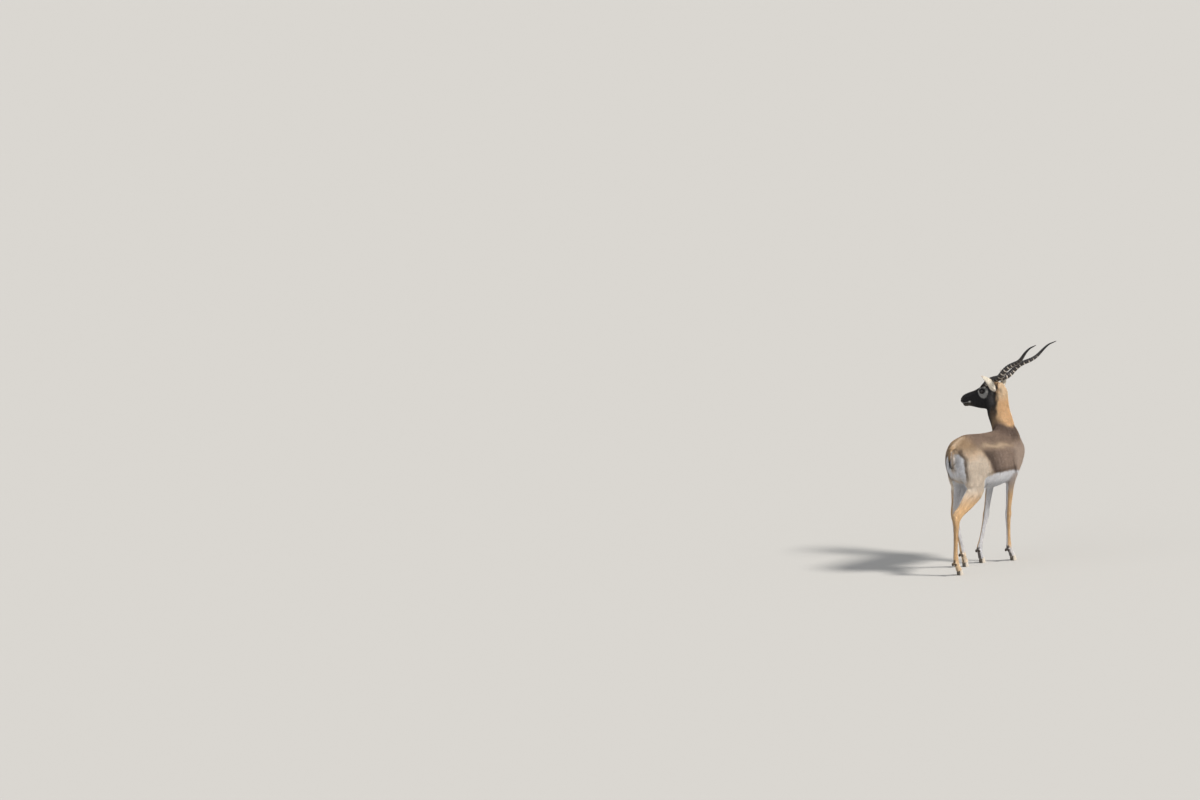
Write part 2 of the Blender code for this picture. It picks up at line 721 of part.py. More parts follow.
def seat(point, normal, radius, height):
    """The round space above a flat seat."""
    point = np.array(point, float)
    normal = unit(normal)
    centre = point + normal * height / 2

    def distance(points):
        offset = points - centre
        along = offset @ normal
        round_part = np.linalg.norm(offset - along[:, None] * normal, axis=1) - radius
        return np.maximum(np.abs(along) - height / 2, round_part)

    reach = math.hypot(radius, height / 2)
    return distance, centre - reach, centre + reach


# Horns and ears


def horn_axis():
    way = np.array(HORN_TIP) - np.array(HORN_BASE)
    return unit(way), np.linalg.norm(way)


def horn_path(side, t):
    """Points of the horn's middle line, t from 0 at the base to 1 at the tip."""
    axis, length = horn_axis()
    across = unit(np.cross(axis, (0, 0, 1)))
    high = np.cross(across, axis)
    t = np.asarray(t, float)
    swing = HORN_SWING * (1 - np.exp(-(t * 9) ** 2)) * (1 - 0.32 * t) * np.clip((1.02 - t) / 0.12, 0.25, 1)
    turn = 2 * math.pi * HORN_TURNS * t * (1 - 0.10 * t) + HORN_PHASE
    lift = np.outer(HORN_LIFT * (1 - np.exp(-25 * t)) - 6.75 * HORN_BOW * t * (1 - t) ** 2, (0, 0, 1))
    along = np.outer(t, axis) * length
    bend = np.outer(swing * np.cos(turn), across) + np.outer(swing * np.sin(turn), high)
    return (np.array(HORN_BASE) + lift + along + bend) * (1, side, 1)


def horn_width(t):
    """Half width of the horn, nearly even over its lower half."""
    return HORN_RADIUS * (1 - t ** 1.6) ** 0.85 + 0.0015


def horn_start(side):
    points = horn_path(side, [0.0, 0.02])
    return unit(points[1] - points[0])


def horn_mesh(side):
    """A tapering horn on a spiral line, with rings over the lower part."""
    per_ring = 2
    ringed = 0.80
    spots = []
    for ring in range(HORN_RINGS):
        for part in range(per_ring):
            u = (ring + part / per_ring) / HORN_RINGS
            spots.append((ringed * u ** 0.92, part))
    spots += [(ringed + (0.985 - ringed) * i / 6, 2) for i in range(7)]
    t = np.array([s[0] for s in spots])
    path = horn_path(side, t)
    ahead = horn_path(side, t + 0.004)
    rings = []
    across = None
    for i, (place, kind) in enumerate(spots):
        axis = horn_start(side) if i == 0 else unit(ahead[i] - path[i])
        guide = np.array([0, side * 1.0, 0]) if across is None else across
        across = unit(guide - axis * (guide @ axis))
        deep = np.cross(axis, across)
        size = horn_width(place)
        ridge = {0: 0.0, 1: 0.085 * (1 - 0.5 * place), 2: 0.0}[kind] * size
        centre = path[i] + (axis * (PART_GAP if i == 0 else 0.0))
        ring = []
        for k in range(HORN_SIDES):
            a = 2 * math.pi * k / HORN_SIDES
            wide = (size + ridge) * (1 + 0.08 * math.cos(2 * a))
            ring.append(centre + across * math.cos(a) * wide + deep * math.sin(a) * wide * 0.92)
        rings.append(ring)
    tip = horn_path(side, [1.0])[0]
    points = [p for ring in rings for p in ring] + [tip]
    faces = []
    for i in range(len(rings) - 1):
        for k in range(HORN_SIDES):
            a = i * HORN_SIDES + k
            b = i * HORN_SIDES + (k + 1) % HORN_SIDES
            faces.append((a, b, b + HORN_SIDES, a + HORN_SIDES))
    last = (len(rings) - 1) * HORN_SIDES
    for k in range(HORN_SIDES):
        faces.append((last + k, last + (k + 1) % HORN_SIDES, len(points) - 1))
    faces.append(tuple(range(HORN_SIDES - 1, -1, -1)))
    return from_head(points), faces


def ear_tip(side):
    return np.array(EAR_TIP_LEFT if side > 0 else EAR_TIP_RIGHT) * (1, side, 1)


def ear_rise(side):
    return unit(ear_tip(side) - np.array(EAR_ROOT) * (1, side, 1))


def ear_mesh(side):
    """A cupped leaf: an outer and an inner wall joined along the rim, flat at the root."""
    root = np.array(EAR_ROOT) * (1, side, 1)
    rise = ear_rise(side)
    length = np.linalg.norm(ear_tip(side) - root)
    mouth = np.array([0.80, side * (EAR_INWARD_LEFT if side > 0 else EAR_INWARD_RIGHT), 0.0])
    mouth = unit(mouth - rise * (mouth @ rise))
    across = np.cross(rise, mouth) * side
    rows, columns = 15, 9
    outline = smooth_rows([(0.0, 0.34, 1.00), (0.10, 0.46, 0.96), (0.25, 0.78, 0.80), (0.42, 0.97, 0.62),
                           (0.60, 0.90, 0.48), (0.78, 0.62, 0.36), (0.92, 0.28, 0.26), (1.0, 0.07, 0.20)], 4)
    outer, inner = [], []
    for i in range(rows):
        t = i / (rows - 1)
        half = np.interp(t, outline[:, 0], outline[:, 1]) * EAR_WIDTH / 2
        cup = np.interp(t, outline[:, 0], outline[:, 2])
        swing = 2.35 * cup
        radius = half / max(math.sin(min(swing, math.pi / 2)), 0.2)
        thick = EAR_THICK * (1.25 - 0.75 * t)
        centre = root + rise * (length * t + (PART_GAP if i == 0 else 0)) \
            - mouth * 0.012 * math.sin(math.pi * t)
        line_out, line_in = [], []
        for j in range(columns):
            a = swing * (2 * j / (columns - 1) - 1)
            way = across * math.sin(a) - mouth * math.cos(a)
            lift = mouth * radius * 0.55 * math.cos(min(swing, 1.2))
            line_out.append(centre + way * radius + lift)
            line_in.append(centre + way * max(radius - thick, radius * 0.35) + lift)
        outer.append(line_out)
        inner.append(line_in)
    points = [p for line in outer for p in line] + [p for line in inner for p in line]
    back = rows * columns
    faces = []
    for i in range(rows - 1):
        for j in range(columns - 1):
            a = i * columns + j
            faces.append((a, a + 1, a + 1 + columns, a + columns))
            faces.append((back + a, back + a + columns, back + a + 1 + columns, back + a + 1))
        a = i * columns
        faces.append((a, a + columns, back + a + columns, back + a))
        b = i * columns + columns - 1
        faces.append((b, back + b, back + b + columns, b + columns))
    for j in range(columns - 1):
        faces.append((j, back + j, back + j + 1, j + 1))
        a = (rows - 1) * columns + j
        faces.append((a, a + 1, back + a + 1, back + a))
    return from_head(points), faces


def ball(centre, radius, around=16, levels=9):
    """A round ball with its poles across the head."""
    points = [(0, radius, 0)]
    for i in range(1, levels):
        a = math.pi * i / levels
        for k in range(around):
            b = 2 * math.pi * k / around
            points.append((radius * math.sin(a) * math.cos(b), radius * math.cos(a),
                           radius * math.sin(a) * math.sin(b)))
    points.append((0, -radius, 0))
    faces = []
    for k in range(around):
        faces.append((0, 1 + (k + 1) % around, 1 + k))
    for i in range(levels - 2):
        for k in range(around):
            a = 1 + i * around + k
            b = 1 + i * around + (k + 1) % around
            faces.append((a, b, b + around, a + around))
    last = len(points) - 1
    for k in range(around):
        a = 1 + (levels - 2) * around
        faces.append((a + k, a + (k + 1) % around, last))
    return from_head(np.array(points) + np.array(centre)), faces


def tail_mesh():
    """A hanging tail: flat at the root, pointed at the end of its hair."""
    rows = smooth_rows(TAIL, 2)
    around = 10
    points = []
    for i, row in enumerate(rows):
        way = unit(TAIL_WAY) if i == 0 else unit(rows[min(i + 1, len(rows) - 1), :3] - rows[i - 1, :3])
        across = np.array([0.0, 1.0, 0.0])
        deep = unit(np.cross(way, across))
        centre = row[:3] + (way * PART_GAP if i == 0 else 0)
        for k in range(around):
            a = 2 * math.pi * k / around
            points.append(centre + across * math.cos(a) * row[3] + deep * math.sin(a) * row[4])
    faces = [tuple(range(around - 1, -1, -1))]
    for i in range(len(rows) - 1):
        for k in range(around):
            a = i * around + k
            b = i * around + (k + 1) % around
            faces.append((a, b, b + around, a + around))
    last = (len(rows) - 1) * around
    faces.append(tuple(range(last, last + around)))
    return np.array(points), faces


# Feet


def claw_mesh(rows, sole, side):
    """One claw of a foot: flat sole on the floor, flat top under the foot's own flat end."""
    point, normal = foot_plane(rows)
    inner = CLAW_SPLIT / 2
    levels = 3
    around = 12
    rings = []
    for level in range(levels + 1):
        rise = level / levels
        ring = []
        for k in range(around):
            a = 2 * math.pi * k / around
            lean = 0.5 - 0.5 * math.cos(a)
            x = math.cos(a) * CLAW_LENGTH / 2
            taper = 1 - 0.42 * max(math.cos(a), 0) ** 2
            y = math.sin(a) * CLAW_WIDTH / 2 * taper
            if y * side < 0:
                y *= 0.86
            x *= 1 - 0.36 * rise
            x -= 0.0110 * rise
            y *= 1 - 0.04 * rise
            y += side * (inner + CLAW_WIDTH / 2 * 0.90)
            foot = np.array([sole[0] + x, sole[1] + y, 0.0])
            top = (point - foot) @ normal / normal[2]
            ring.append((foot[0], foot[1], (top - HOOF_GAP / normal[2]) * rise + 0.002 * lean * rise * (1 - rise)))
        rings.append(ring)
    points = [p for ring in rings for p in ring]
    faces = []
    for i in range(levels):
        for k in range(around):
            a = i * around + k
            b = i * around + (k + 1) % around
            faces.append((a, b, b + around, a + around))
    faces.append(tuple(range(around - 1, -1, -1)))
    faces.append(tuple(range(levels * around, (levels + 1) * around)))
    return np.array(points), faces


def foot_plane(rows):
    """The flat end of a foot: a point on it and its upward direction."""
    end = np.array(rows[-1][:3])
    normal = unit((-0.32, 0.0, 1.0))
    return end, normal


def tidied(points, faces):
    """A closed mesh with its faces turned outward."""
    mesh = mesh_of("part", points, faces)
    work = bmesh.new()
    work.from_mesh(mesh)
    bmesh.ops.triangulate(work, faces=work.faces)
    bmesh.ops.recalc_face_normals(work, faces=work.faces)
    work.to_mesh(mesh)
    work.free()
    return mesh


def material_of(name):
    material = bpy.data.materials.new(name)
    material.use_nodes = True
    shader = material.node_tree.nodes["Principled BSDF"]
    shader.inputs["Base Color"].default_value = (*COLOURS[name], 1)
    shader.inputs["Roughness"].default_value = 0.25 if name in ("eye", "horn", "hoof") else 0.8
    return material


def build():
    for item in list(bpy.data.objects):
        bpy.data.objects.remove(item)
    materials = {name: material_of(name) for name in COLOURS}
    made = {}

    whole = body_form()
    add_head(whole, False)
    low = np.array([-0.13, -0.16, 0.0])
    high = np.array([0.84, 0.42, 1.12])
    points, faces = surface(whole, low, high, BODY_STEP)
    points, faces = parted(settled(whole, points, BODY_STEP), faces, BODY_STEP)
    body = thinned(points, faces, BODY_FACES)
    neck_cut = (np.array([0.672, 0.050, 0.780]), np.array([0.42, 0.42, 0.80]), 0.16, 0)
    head_point = from_head((-0.070, 0.0, -0.050))
    head_normal = HEAD_AXES @ unit((0.757, 0.0, 0.654))
    cuts = [neck_cut, (head_point, head_normal, 0.17, 0)]
    wanted = {"torso": (0.35, 0.0, 0.80), "neck": (0.70, 0.03, 0.86)}
    for name, rows in (("fore_right", FORE_RIGHT), ("fore_left", FORE_LEFT),
                       ("hind_right", HIND_RIGHT), ("hind_left", HIND_LEFT)):
        rows = np.array(rows)
        side = 1 if name.endswith("left") else -1
        upper, lower = (2, 6) if name.startswith("fore") else (3, 7)
        for index, reach in ((upper, 0.120), (lower, 0.090)):
            along = unit(rows[index + 1, :3] - rows[index - 1, :3])
            place = (rows[index, :3] + rows[index + 1, :3]) / 2
            cuts.append((place, along, reach, side))
        along = unit(rows[-2, :3] - rows[-4, :3])
        cuts.append(((rows[-3, :3] + rows[-4, :3] * 1.2) / 2.2, along, 0.034, side))
        point, normal = foot_plane(rows)
        cuts.append((point, normal, 0.040, side))
        wanted[name + "_leg"] = tuple(rows[upper + 2, :3])
        wanted[name + "_shin"] = tuple((rows[-4, :3] + rows[-5, :3]) / 2)
        wanted[name + "_foot"] = tuple(rows[-2, :3])
    for point, normal, reach, side in cuts:
        cut_apart(body, point, normal, reach, side)
    for name, mesh in parts_of(body, wanted).items():
        made[name] = placed(name, mesh, materials["coat"])
    body.free()

    finer = body_form()
    add_head(finer, True)
    corners = from_head([[x, y, z] for x in (-0.14, 0.175) for y in (-0.09, 0.09) for z in (-0.15, 0.08)])
    points, faces = surface(finer, corners.min(axis=0), corners.max(axis=0), HEAD_STEP)
    points, faces = parted(settled(finer, points, HEAD_STEP), faces, HEAD_STEP)
    local = to_head(points)
    keep = np.full(len(points), 1.0)
    for side in (-1, 1):
        eye = np.array(EYE_AT) * (1, side, 1)
        keep = np.minimum(keep, 0.25 + np.clip((np.linalg.norm(local - eye, axis=1) - 0.018) / 0.02, 0, 1))
        for base in (HORN_BASE, EAR_ROOT):
            away = np.linalg.norm(local - np.array(base) * (1, side, 1), axis=1)
            keep = np.minimum(keep, 0.40 + np.clip((away - 0.026) / 0.01, 0, 1))
    keep = np.where(local[:, 0] > 0.088, np.minimum(keep, 0.5), keep)
    head = thinned(points, faces, HEAD_FACES, keep)
    cut_apart(head, head_point, head_normal, 0.17)
    mesh = parts_of(head, {"head": tuple(from_head((0.10, 0.0, 0.016)))})["head"]
    made["head"] = placed("head", mesh, materials["face"])
    head.free()

    for side, word in ((1, "left"), (-1, "right")):
        eye = np.array(EYE_AT) * (1, side, 1)
        made["eye_" + word] = placed("eye_" + word, tidied(*ball(eye, EYE_RADIUS)), materials["eye"])
        made["horn_" + word] = placed("horn_" + word, tidied(*horn_mesh(side)), materials["horn"])
        made["ear_" + word] = placed("ear_" + word, tidied(*ear_mesh(side)), materials["ear"])
    made["tail"] = placed("tail", tidied(*tail_mesh()), materials["tail"])
    for name, rows in (("fore_right", FORE_RIGHT), ("fore_left", FORE_LEFT),
                       ("hind_right", HIND_RIGHT), ("hind_left", HIND_LEFT)):
        for side, word in ((1, "claw_left"), (-1, "claw_right")):
            mesh = tidied(*claw_mesh(rows, SOLES[name], side))
            made[name + "_" + word] = placed(name + "_" + word, mesh, materials["hoof"])

    low = np.min([np.min([v.co[:] for v in item.data.vertices], axis=0) for item in made.values()], axis=0)
    high = np.max([np.max([v.co[:] for v in item.data.vertices], axis=0) for item in made.values()], axis=0)
    shift = Vector((-(low[0] + high[0]) / 2, -(low[1] + high[1]) / 2, -low[2]))
    for item in made.values():
        item.data.transform(Matrix.Translation(shift))
        item.data.update()


build()
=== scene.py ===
# A male blackbuck in mid-step, life size: skin, coat, head, horns, hooves, floor, light and camera
import math

import bmesh
import bpy
import numpy as np
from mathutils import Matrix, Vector


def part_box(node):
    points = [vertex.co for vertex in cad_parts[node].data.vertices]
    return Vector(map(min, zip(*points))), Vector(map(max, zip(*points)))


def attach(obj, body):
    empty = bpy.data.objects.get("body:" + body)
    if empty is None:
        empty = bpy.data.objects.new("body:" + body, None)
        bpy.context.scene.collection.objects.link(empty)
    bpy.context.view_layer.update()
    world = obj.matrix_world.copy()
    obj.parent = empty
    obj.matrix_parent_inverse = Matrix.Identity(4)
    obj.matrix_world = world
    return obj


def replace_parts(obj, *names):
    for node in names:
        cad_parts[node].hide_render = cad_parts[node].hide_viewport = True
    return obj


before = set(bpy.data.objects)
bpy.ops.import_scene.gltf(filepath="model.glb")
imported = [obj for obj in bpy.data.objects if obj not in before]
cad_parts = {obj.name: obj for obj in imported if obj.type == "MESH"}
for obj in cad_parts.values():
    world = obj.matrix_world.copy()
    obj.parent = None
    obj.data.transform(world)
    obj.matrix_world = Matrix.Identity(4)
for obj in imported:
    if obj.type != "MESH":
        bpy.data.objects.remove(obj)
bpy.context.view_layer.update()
print("frame loaded", len(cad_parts), "nodes")

# the animal's own frame: X forward from the right hind foot, Y left, Z up
anchor = {
    "solePoint": (0.618, -0.055),   # middle of the right fore sole
    "toeReach": 0.0235,             # from there to the front edge of its claws
}


def animalShift():
    lowL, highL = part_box("fore_right_claw_left")
    lowR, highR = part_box("fore_right_claw_right")
    x = max(highL[0], highR[0]) - anchor["toeReach"] - anchor["solePoint"][0]
    y = (min(lowL[1], lowR[1]) + max(highL[1], highR[1])) / 2 - anchor["solePoint"][1]
    return np.array([x, y, 0.0])


shift = animalShift()

# small helpers


def unit(vector):
    vector = np.array(vector, float)
    return vector / np.linalg.norm(vector)


def units(rows):
    return rows / np.maximum(np.linalg.norm(rows, axis=1, keepdims=True), 1e-9)


def ramp(value, low, high):
    # 0 below low, 1 above high, soft in between
    t = np.clip((value - low) / (high - low), 0, 1)
    return t * t * (3 - 2 * t)


def bump(value, middle, reach):
    return np.exp(-((value - middle) / reach) ** 2)


def paint(red, green, blue):
    # a screen colour of 0 to 255 as light values
    c = np.array([red, green, blue]) / 255
    return np.where(c <= 0.04045, c / 12.92, ((c + 0.055) / 1.055) ** 2.4)


def smoothRows(rows, parts):
    rows = np.array(rows, float)
    before = np.vstack([rows[:1], rows[:-1]])
    after = np.vstack([rows[1:], rows[-1:]])
    slope = (after - before) / 2
    slope[0] *= 2
    slope[-1] *= 2
    out = []
    for i in range(len(rows) - 1):
        for part in range(parts):
            t = part / parts
            out.append((2 * t ** 3 - 3 * t ** 2 + 1) * rows[i] + (t ** 3 - 2 * t ** 2 + t) * slope[i]
                       + (3 * t ** 2 - 2 * t ** 3) * rows[i + 1] + (t ** 3 - t ** 2) * slope[i + 1])
    out.append(rows[-1])
    return np.array(out)


def wander(points, scale, seed):
    # a smooth wandering value between -1 and 1, the same every time
    rng = np.random.default_rng(seed)
    total = np.zeros(len(points))
    for octave in range(5):
        way = rng.normal(size=3)
        way *= 2 * math.pi / scale * (1 + 0.45 * octave) / np.linalg.norm(way)
        bend = rng.normal(size=3) * 3.1 / scale
        start, bendStart = rng.uniform(0, 6.28), rng.uniform(0, 6.28)
        total += np.sin(points @ way + start + 1.7 * np.sin(points @ bend + bendStart))
    return total / 3.2


# the head's frame

headPlace = {
    "middle": (0.693, 0.200, 0.991),   # between the eyes
    "heading": 104.0,                  # degrees from the body's forward line to the left
    "pitch": 17.5,
    "roll": 5.0,
}


def headFrame():
    turn, pitch, roll = (math.radians(headPlace[k]) for k in ("heading", "pitch", "roll"))
    level = np.array([math.cos(turn), math.sin(turn), 0.0])
    left = np.array([-math.sin(turn), math.cos(turn), 0.0])
    up = np.array([0.0, 0.0, 1.0])
    forward = level * math.cos(pitch) - up * math.sin(pitch)
    top = level * math.sin(pitch) + up * math.cos(pitch)
    return np.column_stack([forward, left * math.cos(roll) + top * math.sin(roll),
                            top * math.cos(roll) - left * math.sin(roll)])


headAxes = headFrame()


def fromHead(points):
    return np.array(points, float) @ headAxes.T + np.array(headPlace["middle"])


def toHead(points):
    return (points - np.array(headPlace["middle"])) @ headAxes


# forms as distances: below zero inside, above zero outside


def blob(centre, radii, pitch=0.0):
    centre = np.array(centre, float)
    radii = np.array(radii, float)
    a = math.radians(pitch)
    axes = np.array([[math.cos(a), 0, math.sin(a)], [0, 1, 0], [-math.sin(a), 0, math.cos(a)]])
    reach = np.sqrt(((axes * radii) ** 2).sum(axis=1))

    def distance(points):
        local = (points - centre) @ axes
        length = np.linalg.norm(local, axis=-1)
        return length * (1 - 1 / np.maximum(np.linalg.norm(local / radii, axis=-1), 1e-3))

    return distance, centre - reach, centre + reach


def limb(rows, parts=3, side=(0, 1, 0), far=0.045):
    # a round limb through rows of centre, half width across and half depth, found up to far from it
    rows = smoothRows(rows, parts)
    side = np.array(side, float)
    reach = rows[:, 3:5].max(axis=1, keepdims=True)

    def distance(points):
        best = np.full(points.shape[0], 9.0)
        for start, end in zip(rows[:-1], rows[1:]):
            along = end[:3] - start[:3]
            span = np.linalg.norm(along)
            axis = along / span
            across = unit(side - axis * (side @ axis))
            deep = np.cross(axis, across)
            offset = points - (start[:3] + end[:3]) / 2
            within = span / 2 + max(start[3:5].max(), end[3:5].max()) + far
            close = np.flatnonzero((offset ** 2).sum(axis=1) < within ** 2)
            if len(close) == 0:
                continue
            offset = points[close] - start[:3]
            t = np.clip(offset @ axis / span, 0, 1)
            offset -= t[:, None] * along
            wide = start[3] + t * (end[3] - start[3])
            depth = start[4] + t * (end[4] - start[4])
            sideways, deepways, lengthways = offset @ across, offset @ deep, offset @ axis
            level = np.sqrt((sideways / wide) ** 2 + (deepways / depth) ** 2
                            + (lengthways / np.minimum(wide, depth)) ** 2)
            length = np.sqrt(sideways ** 2 + deepways ** 2 + lengthways ** 2)
            best[close] = np.minimum(best[close], length * (1 - 1 / np.maximum(level, 1e-3)))
        return best

    return distance, (rows[:, :3] - reach).min(axis=0), (rows[:, :3] + reach).max(axis=0)


def hull(sections, power=2.2, parts=5):
    # a body along X through sections of top, bottom, half width and level of the widest part
    rows = smoothRows(sections, parts)
    place, top, bottom, wide, level = rows.T
    low = np.array([place[0], -wide.max(), bottom.min()])
    high = np.array([place[-1], wide.max(), top.max()])

    def distance(points):
        x = np.clip(points[:, 0], place[0], place[-1])
        hereTop = np.interp(x, place, top)
        hereBottom = np.interp(x, place, bottom)
        hereWide = np.interp(x, place, wide)
        middle = hereBottom + np.interp(x, place, level) * (hereTop - hereBottom)
        z = points[:, 2] - middle
        tall = np.where(z > 0, hereTop - middle, middle - hereBottom)
        over = points[:, 0] - x
        ring = (np.abs(points[:, 1] / hereWide) ** power + np.abs(z / tall) ** power) ** (1 / power)
        ratio = np.sqrt(ring ** 2 + (over / np.minimum(hereWide, tall)) ** 2)
        length = np.sqrt(points[:, 1] ** 2 + z ** 2 + over ** 2)
        return length * (1 - 1 / np.maximum(ratio, 1e-3))

    return distance, low, high


def seat(point, normal, radius, height):
    # the round space above a flat seat
    normal = unit(normal)
    centre = np.array(point, float) + normal * height / 2

    def distance(points):
        offset = points - centre
        along = offset @ normal
        away = np.linalg.norm(offset - along[:, None] * normal, axis=1) - radius
        return np.maximum(np.abs(along) - height / 2, away)

    reach = math.hypot(radius, height / 2)
    return distance, centre - reach, centre + reach


def boxCorners(low, high):
    return [[x, y, z] for x in (low[0], high[0]) for y in (low[1], high[1]) for z in (low[2], high[2])]


def inHead(shape):
    distance, low, high = shape
    box = fromHead(boxCorners(low, high))
    return (lambda points: distance(toHead(points))), box.min(axis=0), box.max(axis=0)


def join(form, shape, soft):
    form.append((shape, soft, 1))


def carve(form, shape, soft):
    form.append((shape, soft, -1))


def blend(value, other, soft, kind):
    if kind < 0:
        other = -other
        mix = np.clip(0.5 - 0.5 * (other - value) / soft, 0, 1)
        return other + (value - other) * mix + soft * mix * (1 - mix)
    mix = np.clip(0.5 + 0.5 * (other - value) / soft, 0, 1)
    return other + (value - other) * mix - soft * mix * (1 - mix)


def valueAt(form, points):
    value = np.full(points.shape[0], 0.05)
    for (distance, low, high), soft, kind in form:
        near = np.all((points > low - soft - 0.012) & (points < high + soft + 0.012), axis=1)
        if near.any():
            value[near] = blend(value[near], distance(points[near]), soft, kind)
    return value


def slopeAt(form, points, value=None):
    eps = 0.0004
    value = valueAt(form, points) if value is None else value
    out = np.empty_like(points)
    for axis in range(3):
        step = np.zeros(3)
        step[axis] = eps
        out[:, axis] = (valueAt(form, points + step) - value) / eps
    return out


corners = np.array(boxCorners((0, 0, 0), (1, 1, 1)))
cellEdges = [(a, b) for a in range(8) for b in range(a + 1, 8) if np.abs(corners[a] - corners[b]).sum() == 1]


def sheet(form, low, high, step):
    # points and four-sided faces where the form's distance is zero, found on an even grid
    low = np.array(low, float)
    coarse = 4
    count = (np.ceil((np.array(high) - low) / step / coarse).astype(int) + 1) * coarse
    # first a coarse grid, then the fine points close to the surface
    spans = [low[i] + step * (coarse * np.arange(count[i] // coarse) + (coarse - 1) / 2) for i in range(3)]
    grid = np.stack(np.meshgrid(*spans, indexing="ij"), axis=-1).reshape(-1, 3)
    value = valueAt(form, grid).reshape(count // coarse).astype(np.float32)
    for axis in range(3):
        value = np.repeat(value, coarse, axis=axis)
    near = np.argwhere(np.abs(value) < coarse * step * 1.35)
    value[tuple(near.T)] = valueAt(form, low + step * near)
    inside = value < 0
    total = sum(inside[x:x + count[0] - 1, y:y + count[1] - 1, z:z + count[2] - 1].astype(np.int8)
                for x, y, z in corners)
    cells = np.argwhere((total > 0) & (total < 8))
    number = np.full(count, -1, np.int32)
    number[tuple(cells.T)] = np.arange(len(cells))
    levels = np.stack([value[tuple((cells + corner).T)] for corner in corners], axis=1)
    summed = np.zeros((len(cells), 3))
    hits = np.zeros(len(cells))
    for a, b in cellEdges:
        cross = (levels[:, a] < 0) != (levels[:, b] < 0)
        t = np.where(cross, levels[:, a] / (levels[:, a] - levels[:, b] + 1e-30), 0)
        summed += (corners[a] + t[:, None] * (corners[b] - corners[a])) * cross[:, None]
        hits += cross
    points = low + step * (cells + summed / hits[:, None])
    faces = []
    for axis in range(3):
        one, two = [i for i in range(3) if i != axis]
        ahead = [slice(None)] * 3
        behind = [slice(None)] * 3
        ahead[axis] = slice(1, None)
        behind[axis] = slice(None, -1)
        spots = np.argwhere(inside[tuple(behind)] != inside[tuple(ahead)])
        spots = spots[(spots[:, one] > 0) & (spots[:, two] > 0)]
        ring = []
        for i, j in ((0, 0), (-1, 0), (-1, -1), (0, -1)):
            cell = spots.copy()
            cell[:, one] += i
            cell[:, two] += j
            ring.append(number[tuple(cell.T)])
        quad = np.stack(ring, axis=1)
        solid = inside[tuple(spots.T)]
        flip = solid if axis == 1 else ~solid
        quad[flip] = quad[flip][:, ::-1]
        faces.append(quad)
    return points, np.vstack(faces)


def settled(form, points, step, rounds=2):
    for _ in range(rounds):
        value = valueAt(form, points)
        slope = slopeAt(form, points, value)
        size = (slope ** 2).sum(axis=1)
        move = slope * (value / np.maximum(size, 0.05))[:, None]
        length = np.linalg.norm(move, axis=1)
        points = points - move * np.minimum(1, 0.6 * step / np.maximum(length, 1e-9))[:, None]
    return points


# meshes from arrays


def newPiece(name, points, triangles, colours, uv=None):
    mesh = bpy.data.meshes.new(name)
    points = np.asarray(points, float) + shift
    triangles = np.asarray(triangles, np.int32)
    sides = triangles.shape[1]
    mesh.vertices.add(len(points))
    mesh.vertices.foreach_set("co", points.astype(np.float32).ravel())
    mesh.loops.add(triangles.size)
    mesh.loops.foreach_set("vertex_index", triangles.ravel())
    mesh.polygons.add(len(triangles))
    mesh.polygons.foreach_set("loop_start", np.arange(len(triangles), dtype=np.int32) * sides)
    mesh.update(calc_edges=True)
    layer = mesh.attributes.new("coatColour", "FLOAT_COLOR", "POINT")
    rgba = np.ones((len(points), 4), np.float32)
    rgba[:, :3] = colours
    layer.data.foreach_set("color", rgba.ravel())
    if uv is not None:
        layer = mesh.uv_layers.new(name="OFBake")
        layer.data.foreach_set("uv", uv[triangles.ravel()].astype(np.float32).ravel())
    mesh.validate()
    mesh.shade_smooth()
    piece = bpy.data.objects.new(name, mesh)
    bpy.context.scene.collection.objects.link(piece)
    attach(piece, "root")
    return piece


def tubeFaces(rows, around):
    i, k = np.meshgrid(np.arange(rows - 1), np.arange(around), indexing="ij")
    a = (i * around + k).ravel()
    b = (i * around + (k + 1) % around).ravel()
    return np.stack([a, b, b + around, a + around], axis=1)


def closedTube(rings):
    # rings of points joined into a tube, with a middle point at each end; outward if rings turn left
    rings = np.asarray(rings, float)
    rows, around = rings.shape[:2]
    quads = tubeFaces(rows, around)
    count = rows * around
    last = count - around
    k = np.arange(around)
    points = [rings.reshape(-1, 3), rings[0].mean(axis=0)[None], rings[-1].mean(axis=0)[None]]
    tris = [quads[:, [0, 1, 2]], quads[:, [0, 2, 3]],
            np.stack([(k + 1) % around, k, np.full(around, count)], axis=1),
            np.stack([last + k, last + (k + 1) % around, np.full(around, count + 1)], axis=1)]
    return np.vstack(points), np.vstack(tris)


def cappedShades(rows):
    # colours of a closed tube's rings and of its two middle points
    return np.vstack([*rows, rows[0].mean(axis=0)[None], rows[-1].mean(axis=0)[None]])


def turnedOut(piece):
    work = bmesh.new()
    work.from_mesh(piece.data)
    bmesh.ops.recalc_face_normals(work, faces=work.faces)
    work.to_mesh(piece.data)
    work.free()
    return piece


# the finish of hair, skin, horn and hoof comes from painted colours with fine unevenness over them


